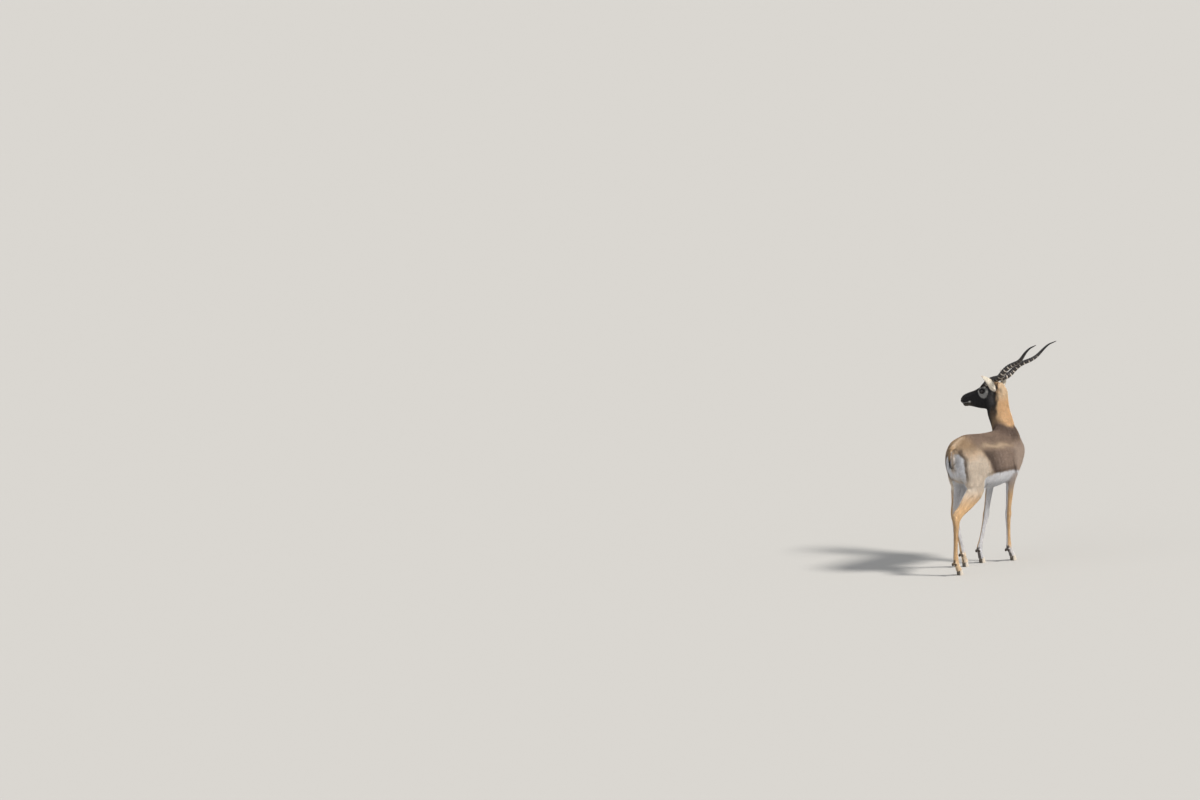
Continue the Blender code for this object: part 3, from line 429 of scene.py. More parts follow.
def paintedMaterial(name, grain, grainSize, span=(0.3, 0.7), detail=4):
    # a material of the painted colour, made lighter and darker by a cloudy grain
    material = bpy.data.materials.new(name)
    material.use_nodes = True
    nodes, links = material.node_tree.nodes, material.node_tree.links
    shader = nodes["Principled BSDF"]
    colour = nodes.new("ShaderNodeAttribute")
    colour.attribute_name = "coatColour"
    place = nodes.new("ShaderNodeTexCoord")
    cloud = nodes.new("ShaderNodeTexNoise")
    cloud.inputs["Scale"].default_value = grainSize
    cloud.inputs["Detail"].default_value = detail
    links.new(place.outputs["Object"], cloud.inputs["Vector"])
    spread = nodes.new("ShaderNodeMapRange")
    spread.inputs["From Min"].default_value = span[0]
    spread.inputs["From Max"].default_value = span[1]
    spread.inputs["To Min"].default_value = 1 - grain
    spread.inputs["To Max"].default_value = 1 + grain
    links.new(cloud.outputs["Fac"], spread.inputs["Value"])
    shade = nodes.new("ShaderNodeVectorMath")
    shade.operation = "SCALE"
    links.new(colour.outputs["Color"], shade.inputs[0])
    links.new(spread.outputs["Result"], shade.inputs["Scale"])
    links.new(shade.outputs["Vector"], shader.inputs["Base Color"])
    return material, shader, place


def finish(name, roughness, grain, grainSize, relief, reliefSize, gloss=0.5, sheen=0.0, fine=None):
    material, shader, place = paintedMaterial(name, grain, grainSize)
    nodes, links = material.node_tree.nodes, material.node_tree.links
    shader.inputs["Roughness"].default_value = roughness
    shader.inputs["Specular IOR Level"].default_value = gloss
    if sheen:
        shader.inputs["Sheen Weight"].default_value = sheen
        shader.inputs["Sheen Roughness"].default_value = 0.5
    # a coarse and, where asked, a fine unevenness of the surface
    layers = [(reliefSize, 3, relief, 0.0008)] + ([(fine, 2, relief * 0.7, 0.0003)] if fine else [])
    below = None
    for size, detail, strength, height in layers:
        rough = nodes.new("ShaderNodeTexNoise")
        rough.inputs["Scale"].default_value = size
        rough.inputs["Detail"].default_value = detail
        links.new(place.outputs["Object"], rough.inputs["Vector"])
        raised = nodes.new("ShaderNodeBump")
        raised.inputs["Strength"].default_value = strength
        raised.inputs["Distance"].default_value = height
        links.new(rough.outputs["Fac"], raised.inputs["Height"])
        if below is not None:
            links.new(below.outputs["Normal"], raised.inputs["Normal"])
        below = raised
    links.new(below.outputs["Normal"], shader.inputs["Normal"])
    return material


# the horns' and ears' lines, in the head's frame

horn = {
    "base": (-0.0346, 0.0250, 0.0345),
    "tip": (-0.4573, 0.1891, 0.1690),
    "radius": 0.0195,
    "turns": 2.558,
    "phase": 1.051,
    "swing": 0.0100,
    "lift": 0.0115,
    "bow": 0.0182,
    "rings": 27,
    "ringed": 0.80,       # share of the length that carries rings
}


def hornLine(side, t):
    way = np.array(horn["tip"]) - np.array(horn["base"])
    length = np.linalg.norm(way)
    axis = way / length
    across = unit(np.cross(axis, (0, 0, 1)))
    high = np.cross(across, axis)
    t = np.asarray(t, float)
    swing = horn["swing"] * (1 - np.exp(-(t * 9) ** 2)) * (1 - 0.32 * t) * np.clip((1.02 - t) / 0.12, 0.25, 1)
    turn = 2 * math.pi * horn["turns"] * t * (1 - 0.10 * t) + horn["phase"]
    lift = np.outer(horn["lift"] * (1 - np.exp(-25 * t)) - 6.75 * horn["bow"] * t * (1 - t) ** 2, (0, 0, 1))
    bend = np.outer(swing * np.cos(turn), across) + np.outer(swing * np.sin(turn), high)
    return (np.array(horn["base"]) + lift + np.outer(t, axis) * length + bend) * (1, side, 1)


def hornWidth(t):
    return horn["radius"] * (1 - t ** 1.6) ** 0.85 + 0.0015


def hornStart(side):
    points = hornLine(side, [0.0, 0.02])
    return unit(points[1] - points[0])


ear = {
    "root": (-0.086, 0.0575, -0.021),
    "tipLeft": (-0.055, 0.149, 0.090),
    "tipRight": (-0.076, 0.150, 0.103),
    "inwardLeft": -0.45,     # how far its opening faces the other ear
    "inwardRight": -0.10,
    "width": 0.050,
    "thick": 0.0026,
}


def earRoot(side):
    return np.array(ear["root"]) * (1, side, 1)


def earTip(side):
    return np.array(ear["tipLeft"] if side > 0 else ear["tipRight"]) * (1, side, 1)


def earRise(side):
    return unit(earTip(side) - earRoot(side))


# the body: trunk, neck, muscles and legs as one soft form

trunk = {
    "sections": [
        (0.022, 0.735, 0.650, 0.020, 0.50), (0.032, 0.766, 0.600, 0.044, 0.52),
        (0.060, 0.786, 0.565, 0.064, 0.55), (0.115, 0.806, 0.535, 0.081, 0.55),
        (0.180, 0.815, 0.512, 0.090, 0.53), (0.260, 0.808, 0.486, 0.095, 0.50),
        (0.350, 0.799, 0.468, 0.104, 0.46), (0.440, 0.794, 0.463, 0.109, 0.44),
        (0.530, 0.795, 0.470, 0.103, 0.44), (0.600, 0.801, 0.482, 0.088, 0.44),
        (0.650, 0.805, 0.500, 0.070, 0.42), (0.695, 0.786, 0.530, 0.056, 0.42),
        (0.727, 0.745, 0.570, 0.042, 0.45), (0.745, 0.700, 0.625, 0.020, 0.50)],
    "rib": 0.0011,          # height of the faint ribs
}
neck = {
    "rows": [
        (0.600, 0.006, 0.672, 0.066, 0.115), (0.650, 0.030, 0.740, 0.067, 0.092),
        (0.685, 0.070, 0.808, 0.065, 0.077), (0.699, 0.104, 0.872, 0.066, 0.072),
        (0.705, 0.116, 0.930, 0.064, 0.069), (0.708, 0.114, 0.975, 0.057, 0.063)],
    "fold": 0.0016,         # depth of the folds inside the bend
    "folds": 17,            # as many of them as would fit along the whole neck
}
legs = {
    "foreRight": [
        (0.625, -0.058, 0.610, 0.032, 0.064), (0.583, -0.063, 0.530, 0.028, 0.044),
        (0.564, -0.063, 0.470, 0.0225, 0.0310), (0.558, -0.060, 0.390, 0.0180, 0.0225),
        (0.554, -0.057, 0.325, 0.0152, 0.0175), (0.554, -0.056, 0.290, 0.0185, 0.0200),
        (0.553, -0.055, 0.262, 0.0150, 0.0165), (0.556, -0.055, 0.200, 0.0118, 0.0138),
        (0.560, -0.055, 0.130, 0.0118, 0.0138), (0.565, -0.055, 0.086, 0.0160, 0.0180),
        (0.584, -0.055, 0.056, 0.0140, 0.0155), (0.602, -0.055, 0.030, 0.0175, 0.0200)],
    "foreLeft": [
        (0.620, 0.058, 0.610, 0.032, 0.064), (0.566, 0.063, 0.525, 0.028, 0.046),
        (0.540, 0.063, 0.465, 0.0225, 0.0320), (0.513, 0.060, 0.385, 0.0180, 0.0225),
        (0.492, 0.057, 0.320, 0.0152, 0.0175), (0.483, 0.056, 0.286, 0.0185, 0.0200),
        (0.472, 0.055, 0.258, 0.0150, 0.0165), (0.449, 0.054, 0.200, 0.0118, 0.0138),
        (0.424, 0.054, 0.138, 0.0118, 0.0138), (0.407, 0.054, 0.093, 0.0160, 0.0180),
        (0.414, 0.054, 0.058, 0.0140, 0.0155), (0.426, 0.054, 0.030, 0.0175, 0.0200)],
    "hindRight": [
        (0.118, -0.046, 0.670, 0.042, 0.078), (0.145, -0.057, 0.590, 0.040, 0.095),
        (0.170, -0.068, 0.510, 0.037, 0.080), (0.110, -0.066, 0.450, 0.030, 0.060),
        (0.045, -0.063, 0.405, 0.024, 0.044), (0.003, -0.061, 0.372, 0.0195, 0.0300),
        (-0.032, -0.060, 0.338, 0.0190, 0.0245), (-0.040, -0.060, 0.298, 0.0170, 0.0210),
        (-0.043, -0.060, 0.235, 0.0130, 0.0158), (-0.045, -0.060, 0.145, 0.0122, 0.0146),
        (-0.040, -0.060, 0.086, 0.0162, 0.0185), (-0.022, -0.060, 0.055, 0.0142, 0.0158),
        (-0.006, -0.060, 0.030, 0.0178, 0.0200)],
    "hindLeft": [
        (0.118, 0.046, 0.670, 0.042, 0.078), (0.165, 0.057, 0.600, 0.040, 0.098),
        (0.205, 0.068, 0.530, 0.037, 0.085), (0.190, 0.067, 0.465, 0.031, 0.068),
        (0.172, 0.066, 0.410, 0.024, 0.048), (0.156, 0.065, 0.365, 0.0195, 0.0320),
        (0.152, 0.065, 0.330, 0.0190, 0.0250), (0.160, 0.065, 0.292, 0.0170, 0.0210),
        (0.182, 0.065, 0.232, 0.0130, 0.0158), (0.214, 0.065, 0.148, 0.0122, 0.0146),
        (0.236, 0.065, 0.090, 0.0162, 0.0185), (0.250, 0.065, 0.057, 0.0142, 0.0158),
        (0.262, 0.065, 0.030, 0.0178, 0.0200)],
}
tail = {
    "rows": [
        (0.066, 0.000, 0.768, 0.0200, 0.0180), (0.006, 0.000, 0.758, 0.0125, 0.0115),
        (-0.010, 0.000, 0.746, 0.0120, 0.0095), (-0.016, 0.000, 0.722, 0.0105, 0.0075),
        (-0.014, 0.001, 0.694, 0.0085, 0.0060), (-0.008, 0.002, 0.664, 0.0065, 0.0050),
        (-0.003, 0.003, 0.648, 0.0040, 0.0040)],
}
soles = {
    "fore_right": ("foreRight", (0.618, -0.055)),
    "fore_left": ("foreLeft", (0.442, 0.054)),
    "hind_right": ("hindRight", (0.010, -0.060)),
    "hind_left": ("hindLeft", (0.272, 0.065)),
}


muscles = [
    # centre and half sizes of the left one, pitch and softness
    ((0.628, 0.048, 0.665), (0.058, 0.036, 0.125), -22, 0.030),     # shoulder blade
    ((0.592, 0.058, 0.580), (0.052, 0.030, 0.062), -30, 0.026),     # upper arm
    ((0.692, 0.038, 0.640), (0.044, 0.034, 0.066), 20, 0.030),      # point of the shoulder
    ((0.120, 0.046, 0.680), (0.090, 0.038, 0.098), 15, 0.034),      # haunch
]


def footPlane(rows):
    return np.array(rows[-1][:3]), unit((-0.32, 0.0, 1.0))


def bodyForm():
    form = []
    join(form, hull(trunk["sections"]), 0.010)
    join(form, limb(neck["rows"]), 0.030)
    for side in (-1, 1):
        for centre, radii, pitch, soft in muscles:
            join(form, blob(np.array(centre) * (1, side, 1), radii, pitch), soft)
    for key in ("foreRight", "foreLeft"):
        join(form, limb(legs[key]), 0.022)
    for key in ("hindRight", "hindLeft"):
        join(form, limb(legs[key]), 0.026)
    join(form, limb(tail["rows"], 2), 0.012)
    for key in ("hindRight", "hindLeft"):
        rows = legs[key]
        hock = np.array(rows[6][:3])
        heel = hock + np.array([-0.030, 0.0, 0.026])
        start = np.array(rows[3][:3]) + np.array([-0.050, 0.0, 0.012])
        middle = (start + heel) / 2 + np.array([0.004, 0.0, 0.0])
        join(form, limb([(*start, 0.012, 0.014), (*middle, 0.0080, 0.0100), (*heel, 0.0115, 0.0125),
                         (*(hock + np.array([-0.024, 0.0, -0.020])), 0.0100, 0.0110)]), 0.016)
        # the hollow between the heel tendon and the shin bone
        side = 1 if key.endswith("Left") else -1
        for y in (-1, 1):
            hollow = [(*(start + [0.028, y * 0.026, 0.000]), 0.006, 0.006),
                      (*(middle + [0.018, y * 0.0205, 0.000]), 0.006, 0.006),
                      (*(heel + [0.016, y * 0.0190, 0.004]), 0.004, 0.004)]
            carve(form, limb(hollow), 0.010)
        # the fold of skin from the stifle to the flank
        stifle = np.array(rows[2][:3]) + np.array([0.058, side * 0.004, 0.010])
        join(form, limb([(*stifle, 0.012, 0.012), (*(stifle + [0.030, side * -0.004, 0.035]), 0.010, 0.012),
                         (*(stifle + [0.062, side * -0.006, 0.060]), 0.008, 0.010)]), 0.022)
    for key, rows in legs.items():
        pastern = np.array(rows[-3][:3])
        for side in (-1, 1):
            falseHoof = pastern + np.array([-0.018, side * 0.0095, -0.014])
            join(form, blob(falseHoof, (0.0095, 0.0075, 0.0115), 30), 0.006)
        # the tendon behind the cannon bone stands clear of it by a shallow groove on each side
        top, low = np.array(rows[-5][:3]), np.array(rows[-4][:3])
        back = np.array([-0.0035, 0.0, 0.0])
        for side in (-1, 1):
            out = np.array([0.0, side * 0.0150, 0.0])
            carve(form, limb([(*(end + back + out), 0.0034, 0.0034) for end in (top, low)]), 0.0045)
        point, normal = footPlane(rows)
        carve(form, seat(point + normal * 0.0002, -normal, 0.040, 0.050), 0.0020)
    return form


headShape = {
    "sections": [
        (-0.100, 0.024, -0.050, 0.024, 0.55), (-0.080, 0.031, -0.080, 0.038, 0.62),
        (-0.040, 0.036, -0.100, 0.044, 0.66), (-0.005, 0.036, -0.106, 0.0445, 0.70),
        (0.028, 0.026, -0.102, 0.0395, 0.68), (0.060, 0.018, -0.090, 0.0325, 0.60),
        (0.090, 0.016, -0.075, 0.0280, 0.52), (0.116, 0.013, -0.063, 0.0265, 0.48),
        (0.136, 0.008, -0.056, 0.0250, 0.48), (0.148, -0.001, -0.047, 0.0190, 0.50),
        (0.153, -0.010, -0.036, 0.0100, 0.50)],
    "lip": [
        (0.096, 0.0270, -0.0360), (0.112, 0.0268, -0.0345), (0.128, 0.0250, -0.0335),
        (0.142, 0.0185, -0.0325), (0.150, 0.0080, -0.0320), (0.152, 0.0, -0.0320)],
    "eyeAt": (0.000, 0.0365, 0.000),
    "eyeRadius": 0.0150,
    "eyeOpening": (0.0140, 0.0120, 0.0102),
}


def lidLine(side, wide=1.0, rise=0.0, count=13):
    # points on the eyeball along the edge of the lids, from the front corner over the top and back under
    out = []
    radius = headShape["eyeRadius"]
    for i in range(count):
        turn = 2 * math.pi * i / (count - 1)
        x = headShape["eyeOpening"][0] * wide * math.cos(turn)
        z = headShape["eyeOpening"][2] * (wide + 0.10 * math.sin(turn)) * math.sin(turn) + 0.08 * x
        y = math.sqrt(max(radius ** 2 - x ** 2 - z ** 2, 1e-8))
        spot = np.array([x, y, z]) * (radius + rise) / radius
        out.append((turn, (np.array(headShape["eyeAt"]) + spot) * (1, side, 1)))
    return out


def joinHead(form):
    def add(shape, soft):
        join(form, inHead(shape), soft)

    def cut(shape, soft):
        carve(form, inHead(shape), soft)

    add(hull(headShape["sections"]), 0.026)
    add(blob((-0.052, 0, 0.000), (0.058, 0.043, 0.037)), 0.020)      # skull
    for side in (-1, 1):
        add(blob((-0.030, side * 0.026, -0.048), (0.046, 0.018, 0.040), pitch=15), 0.014)    # cheek
        add(blob((0.002, side * 0.034, 0.006), (0.027, 0.014, 0.022)), 0.010)                # brow
        # the cheek bone, then the horn's and the ear's stems
        add(limb([(0.036, side * 0.024, -0.010, 0.010, 0.010), (0.000, side * 0.034, -0.022, 0.010, 0.010),
                  (-0.040, side * 0.038, -0.016, 0.009, 0.009)]), 0.010)
        base = np.array(horn["base"]) * (1, side, 1)
        add(limb([(*(base - hornStart(side) * 0.030), 0.0225, 0.0225),
                  (*(base + hornStart(side) * 0.004), 0.0220, 0.0220)], 1), 0.012)
        inner = earRoot(side) - earRise(side) * 0.030
        inner[1] = side * 0.032
        add(limb([(*inner, 0.0160, 0.0160), (*earRoot(side), 0.0140, 0.0140)], 1, (1, 0, 0)), 0.012)
    add(blob((0.132, 0, -0.048), (0.020, 0.020, 0.012)), 0.010)      # chin
    lip = headShape["lip"]
    for side in (-1, 1):
        add(limb([(x, side * y, z + 0.0052, 0.0042, 0.0042) for x, y, z in lip], 2), 0.006)
        add(limb([(x - 0.003, side * y * 0.94, z - 0.0058, 0.0040, 0.0040) for x, y, z in lip], 2), 0.006)
        add(blob((0.146, side * 0.0125, -0.0120), (0.0085, 0.0075, 0.0090)), 0.005)          # nostril wing
        groove = []
        for x, y, z in lip:
            front = ((x - lip[0][0]) / (lip[-1][0] - lip[0][0])) ** 2
            groove.append((x + 0.0045 * front, side * (y + 0.0030 * (1 - front)), z, 0.0019, 0.0016))
        cut(limb(groove, 2, (0, 0, 1)), 0.0018)
        cut(limb([(0.156, side * 0.0150, -0.0135, 0.0036, 0.0026),
                  (0.149, side * 0.0190, -0.0085, 0.0034, 0.0024),
                  (0.141, side * 0.0215, -0.0085, 0.0018, 0.0016)], 2, (0, 0, 1)), 0.0022)
        # the gland slit before the eye, then the raised rim of the lids
        cut(limb([(0.034, side * 0.0420, -0.0125, 0.0020, 0.0020),
                  (0.019, side * 0.0475, -0.0070, 0.0018, 0.0018)], 1), 0.003)
        ring = []
        for turn, spot in lidLine(side, 1.05, 0.0010):
            thick = 0.0034 if math.sin(turn) > 0.2 else 0.0028
            ring.append((*spot, thick, thick))
        add(limb(ring, 1), 0.005)
        # the crease above the upper lid and the bag under the lower one
        for wide, offset, thick, first, last in ((1.12, [0, side * 0.0008, 0.0052], 0.0011, 2, 11),
                                                 (1.15, [0, side * 0.0004, -0.0050], 0.0009, 15, 22)):
            spots = lidLine(side, wide, 0.002, 25)[first:last]
            cut(limb([(*(spot + offset), thick, thick) for turn, spot in spots], 1), 0.0025)
        eye = np.array(headShape["eyeAt"]) * (1, side, 1)
        cut(blob(eye + [0.0, side * 0.0170, 0.0], headShape["eyeOpening"], pitch=-5), 0.0012)
        radius = headShape["eyeRadius"] - 0.0002
        cut(blob(eye, (radius, radius, radius)), 0.0002)
    # the groove from the nose down to the upper lip
    cut(limb([(0.1575, 0, -0.016, 0.0010, 0.0010), (0.1580, 0, -0.028, 0.0010, 0.0010)], 1), 0.0020)
    return form


# where a point of the skin lies: how near each limb it is, and which way the hair runs there

hairLines = {
    "trunk": [(0.760, 0, 0.66), (0.600, 0, 0.66), (0.300, 0, 0.64), (0.050, 0, 0.66), (0.0, 0, 0.64)],
    "neck": [row[:3] for row in neck["rows"]][::-1],
    "tail": [row[:3] for row in tail["rows"]],
    **{key: [row[:3] for row in rows] for key, rows in legs.items()},
}
pieceNames = ["trunk", "neck", "tail", "foreRight", "foreLeft", "hindRight", "hindLeft", "head"]
partShapes = {
    "trunk": hull(trunk["sections"]),
    "neck": limb(neck["rows"], 2),
    "tail": limb(tail["rows"][1:], 1),
    "head": inHead(hull(headShape["sections"])),
    **{key: limb(rows[1:], 2) for key, rows in legs.items()},
}


def nearness(points):
    # distance of each point to each part of the body
    out = np.full((len(points), len(pieceNames)), 0.2)
    for i, name in enumerate(pieceNames):
        distance, low, high = partShapes[name]
        near = np.all((points > low - 0.12) & (points < high + 0.12), axis=1)
        out[near, i] = np.minimum(distance(points[near]), 0.2)
    return out


def perPart(table, near, spread=0.010):
    # a value given for each part of the body, blended where parts meet
    each = np.array([table.get(name, table["leg"]) for name in pieceNames])
    weight = np.exp(-(near - near.min(axis=1, keepdims=True)) / spread)
    return (weight * each).sum(axis=1) / weight.sum(axis=1)


def alongLine(points, rows):
    # direction of a line at each point's nearest place, how far along it is (0 to 1) and the nearest place
    rows = smoothRows(rows, 3)
    slope = np.gradient(rows, axis=0)
    best = np.full(len(points), 9.0)
    way = np.zeros((len(points), 3))
    place = np.zeros(len(points))
    foot = np.zeros((len(points), 3))
    for i in range(len(rows) - 1):
        along = rows[i + 1] - rows[i]
        t = np.clip((points - rows[i]) @ along / (along @ along), 0, 1)
        spot = rows[i] + t[:, None] * along
        away = np.linalg.norm(points - spot, axis=1)
        closer = away < best
        best[closer] = away[closer]
        way[closer] = (slope[i] * (1 - t[:, None]) + slope[i + 1] * t[:, None])[closer]
        place[closer] = ((i + t) / (len(rows) - 1))[closer]
        foot[closer] = spot[closer]
    return units(way), place, foot


def hairWay(points, normals, near):
    weight = np.exp(-(near - near.min(axis=1, keepdims=True)) / 0.016)
    total = np.zeros_like(points)
    for i, name in enumerate(pieceNames):
        pick = weight[:, i] > 0.02
        if not pick.any():
            continue
        p = points[pick]
        if name == "head":
            h = toHead(p)
            aside = 0.35 * np.sign(h[:, 1]) * ramp(h[:, 0], 0.02, -0.06)
            crown = 0.30 * ramp(h[:, 2], 0.0, 0.03) * ramp(h[:, 0], -0.03, 0.03)
            way = np.column_stack([-np.ones(len(h)), aside, -0.45 * ramp(-h[:, 2], 0.03, 0.08) + crown])
            for side in (-1, 1):
                off = h - np.array(headShape["eyeAt"]) * (1, side, 1)
                pull = np.exp(-(np.linalg.norm(off * [1, 0.6, 1], axis=1) / 0.030) ** 2)
                way += off * [1, 0, 1] / 0.012 * pull[:, None] * 0.35
            way = units(way) @ headAxes.T
        elif name == "trunk":
            drop = ramp(0.74 - p[:, 2], 0.0, 0.20)
            way = np.column_stack([-np.ones(len(p)), np.zeros(len(p)), -0.10 - 0.75 * drop])
        else:
            way = alongLine(p, hairLines[name])[0]
        total[pick] += units(way) * weight[pick, i][:, None]
    total -= normals * (total * normals).sum(axis=1)[:, None]
    return units(total)


# the markings, painted by place on the body and the head

colours = {
    "back": paint(143, 121, 104),
    # dark brown of the withers, also used for the painted shadow behind each ear
    "withersAndEarShadow": paint(92, 73, 63),
    # painted highlight along the ridge of the side
    "line": paint(214, 190, 160),
    "flank": paint(79, 63, 54),
    "side": paint(166, 144, 128),
    "shoulder": paint(179, 159, 144),
    "thigh": paint(221, 207, 190),
    "rumpSide": paint(218, 192, 162),
    "rump": paint(174, 145, 112),
    # the dark border colour, also used for the painted shade in the armpits
    "edge": paint(66, 47, 36),
    "white": paint(222, 222, 225),
    "tan": paint(228, 190, 142),
    # painted shade on the rear-facing sides of the legs
    "legShade": paint(150, 118, 88),
    "neck": paint(231, 190, 143),
    "cream": paint(236, 211, 178),
    "throat": paint(38, 34, 33),
    "face": paint(25, 23, 25),
    "bridge": paint(38, 31, 27),
    "gland": paint(17, 17, 22),
    "eyeRing": paint(150, 148, 144),
    "ringSpot": paint(222, 218, 210),
    "forehead": paint(46, 36, 30),
    # painted sheen on the black fur of the cheek
    "cheekSheen": paint(100, 96, 95),
    "lip": paint(168, 162, 156),
    "chin": paint(92, 84, 74),
    "nose": paint(18, 17, 18),
    "lid": paint(14, 12, 12),
    "fetlock": paint(70, 58, 50),
    "tailTip": paint(40, 31, 26),
}


# small white spots round the eye: how far forward and up of its middle, and how wide
ringSpots = [(-0.021, 0.0185, 0.0050), (0.009, 0.0205, 0.0036),
             (0.024, 0.004, 0.0042), (-0.030, -0.010, 0.006)]


def over(base, colour, amount):
    return base + (colour - base) * np.clip(amount, 0, 1)[:, None]


def lay(col, name, amount):
    return over(col, colours[name], amount)


def outsideOf(y, least):
    return ramp(np.abs(y), least, least + 0.005)


def bellyLine(x):
    return np.interp(x, [0.20, 0.28, 0.36, 0.44, 0.52, 0.57, 0.62, 0.70],
                     [0.535, 0.560, 0.570, 0.568, 0.566, 0.560, 0.545, 0.540])


def neckTurn(points):
    # the angle round the neck away from the throat, in degrees, and the place up the neck
    _, place, foot = alongLine(points, [row[:3] for row in neck["rows"]])
    off = points - foot
    heading = np.degrees(np.arctan2(off[:, 1], off[:, 0]))
    front = 66 + 36 * ramp(place, 0.1, 0.8)
    return (heading - front + 180) % 360 - 180, place


def paintTrunk(col, points, normals, near, grain, edge):
    # dark withers, warm rump, a painted highlight along the ridge of the side, dark flank under it and a pale
    # thigh
    x, y, z = points.T
    soft = 0.012 * wander(points, 0.13, 8)
    col = lay(col, "withersAndEarShadow", 0.85 * bump(x, 0.60, 0.11) * ramp(z + soft, 0.715, 0.79))
    col = lay(col, "side", ramp(0.74 - z + soft, 0, 0.09) * ramp(x, 0.26, 0.40))
    col = lay(col, "shoulder", ramp(x + soft, 0.52, 0.61) * ramp(0.75 - z, 0, 0.08))
    hipLine = 0.216 + 0.70 * np.clip(0.737 - z, 0, 0.25) + soft
    sideHighlightLevel = np.interp(x, [0.18, 0.26, 0.40, 0.59, 0.66], [0.752, 0.742, 0.724, 0.698, 0.690]) + 0.6 * soft
    ahead = x - hipLine
    wedge = ramp(ahead, -0.012, 0.028) * (0.30 + 0.70 * ramp(0.17 - ahead, 0, 0.15))
    flank = ramp(sideHighlightLevel - 0.006 - z, 0.0, 0.034) * wedge
    col = lay(col, "flank", 0.88 * flank * ramp(0.62 - x, 0, 0.06))
    span = ramp(x, 0.17, 0.28) * ramp(0.64 - x, 0, 0.22)
    # painted highlight: a pale line along the ridge of the side
    col = lay(col, "line", 0.62 * bump(z, sideHighlightLevel + 0.004, 0.015) * span)
    col = lay(col, "rump", 0.90 * ramp(0.20 - x + soft, 0.0, 0.12) * ramp(z, 0.70, 0.77))
    behind = ramp(-ahead, -0.018, 0.040) * ramp(0.775 - z, 0.0, 0.07) * ramp(z, 0.36, 0.50)
    col = lay(col, "rumpSide", 0.90 * behind)
    return lay(col, "thigh", 0.90 * behind * ramp(0.735 - z + soft, 0.0, 0.08))


def paintLegs(col, points, normals, near, grain, edge):
    # tan outside, white inside, painted shade on the rear-facing sides, pale in front of the pasterns and
    # dark behind them
    x, y, z = points.T
    limbNear = near[:, 3:7]
    which = limbNear.argmin(axis=1)
    hind = which >= 2
    onLeg = ramp(0.490 - z, -0.02, 0.13) * ramp(-limbNear.min(axis=1), -0.030, -0.004)
    tan = np.where(hind, 0.90, 1.0)
    col = lay(col, "tan", tan * onLeg)
    col = lay(col, "tan", 0.6 * hind * ramp(0.50 - z, 0.0, 0.14))
    sideOf = np.where(which % 2 == 0, -1.0, 1.0)
    inward = -sideOf * normals[:, 1]
    rear = -normals[:, 0]
    # painted shade on the rear-facing sides of the legs
    col = lay(col, "legShade", 0.55 * onLeg * ramp(rear + 0.15 * grain, 0.35, 0.95) * ramp(z, 0.10, 0.20))
    foreWhite = ramp(inward + 0.35 * rear + 0.04 * grain, 0.02, 0.26) * ~hind * ramp(0.555 - z, 0, 0.03)
    hindWhite = ramp(inward - 0.10 * rear + 0.04 * grain, 0.22, 0.46) * hind * ramp(0.60 - z, 0, 0.05)
    nearLeg = ramp(-limbNear.min(axis=1), -0.025, -0.002)
    col = lay(col, "white", 0.95 * np.maximum(foreWhite, hindWhite) * nearLeg)
    sock = ramp(0.112 - z + edge, 0.0, 0.04)
    col = lay(col, "cream", 0.80 * sock * hind)
    col = lay(col, "white", 0.90 * sock * ~hind)
    heel = np.where(hind, ramp(rear, 0.78, 0.97), ramp(rear, 0.45, 0.80))
    col = lay(col, "fetlock", 0.85 * ramp(0.108 - z, 0.0, 0.016) * heel)
    # the false hooves behind the fetlocks are dark
    for rows in legs.values():
        for side in (-1, 1):
            knob = np.array(rows[-3][:3]) + [-0.022, side * 0.0095, -0.015]
            away = np.linalg.norm(points - knob, axis=1)
            col = lay(col, "fetlock", 0.9 * ramp(0.0110 - away, 0.0, 0.003))
    return col


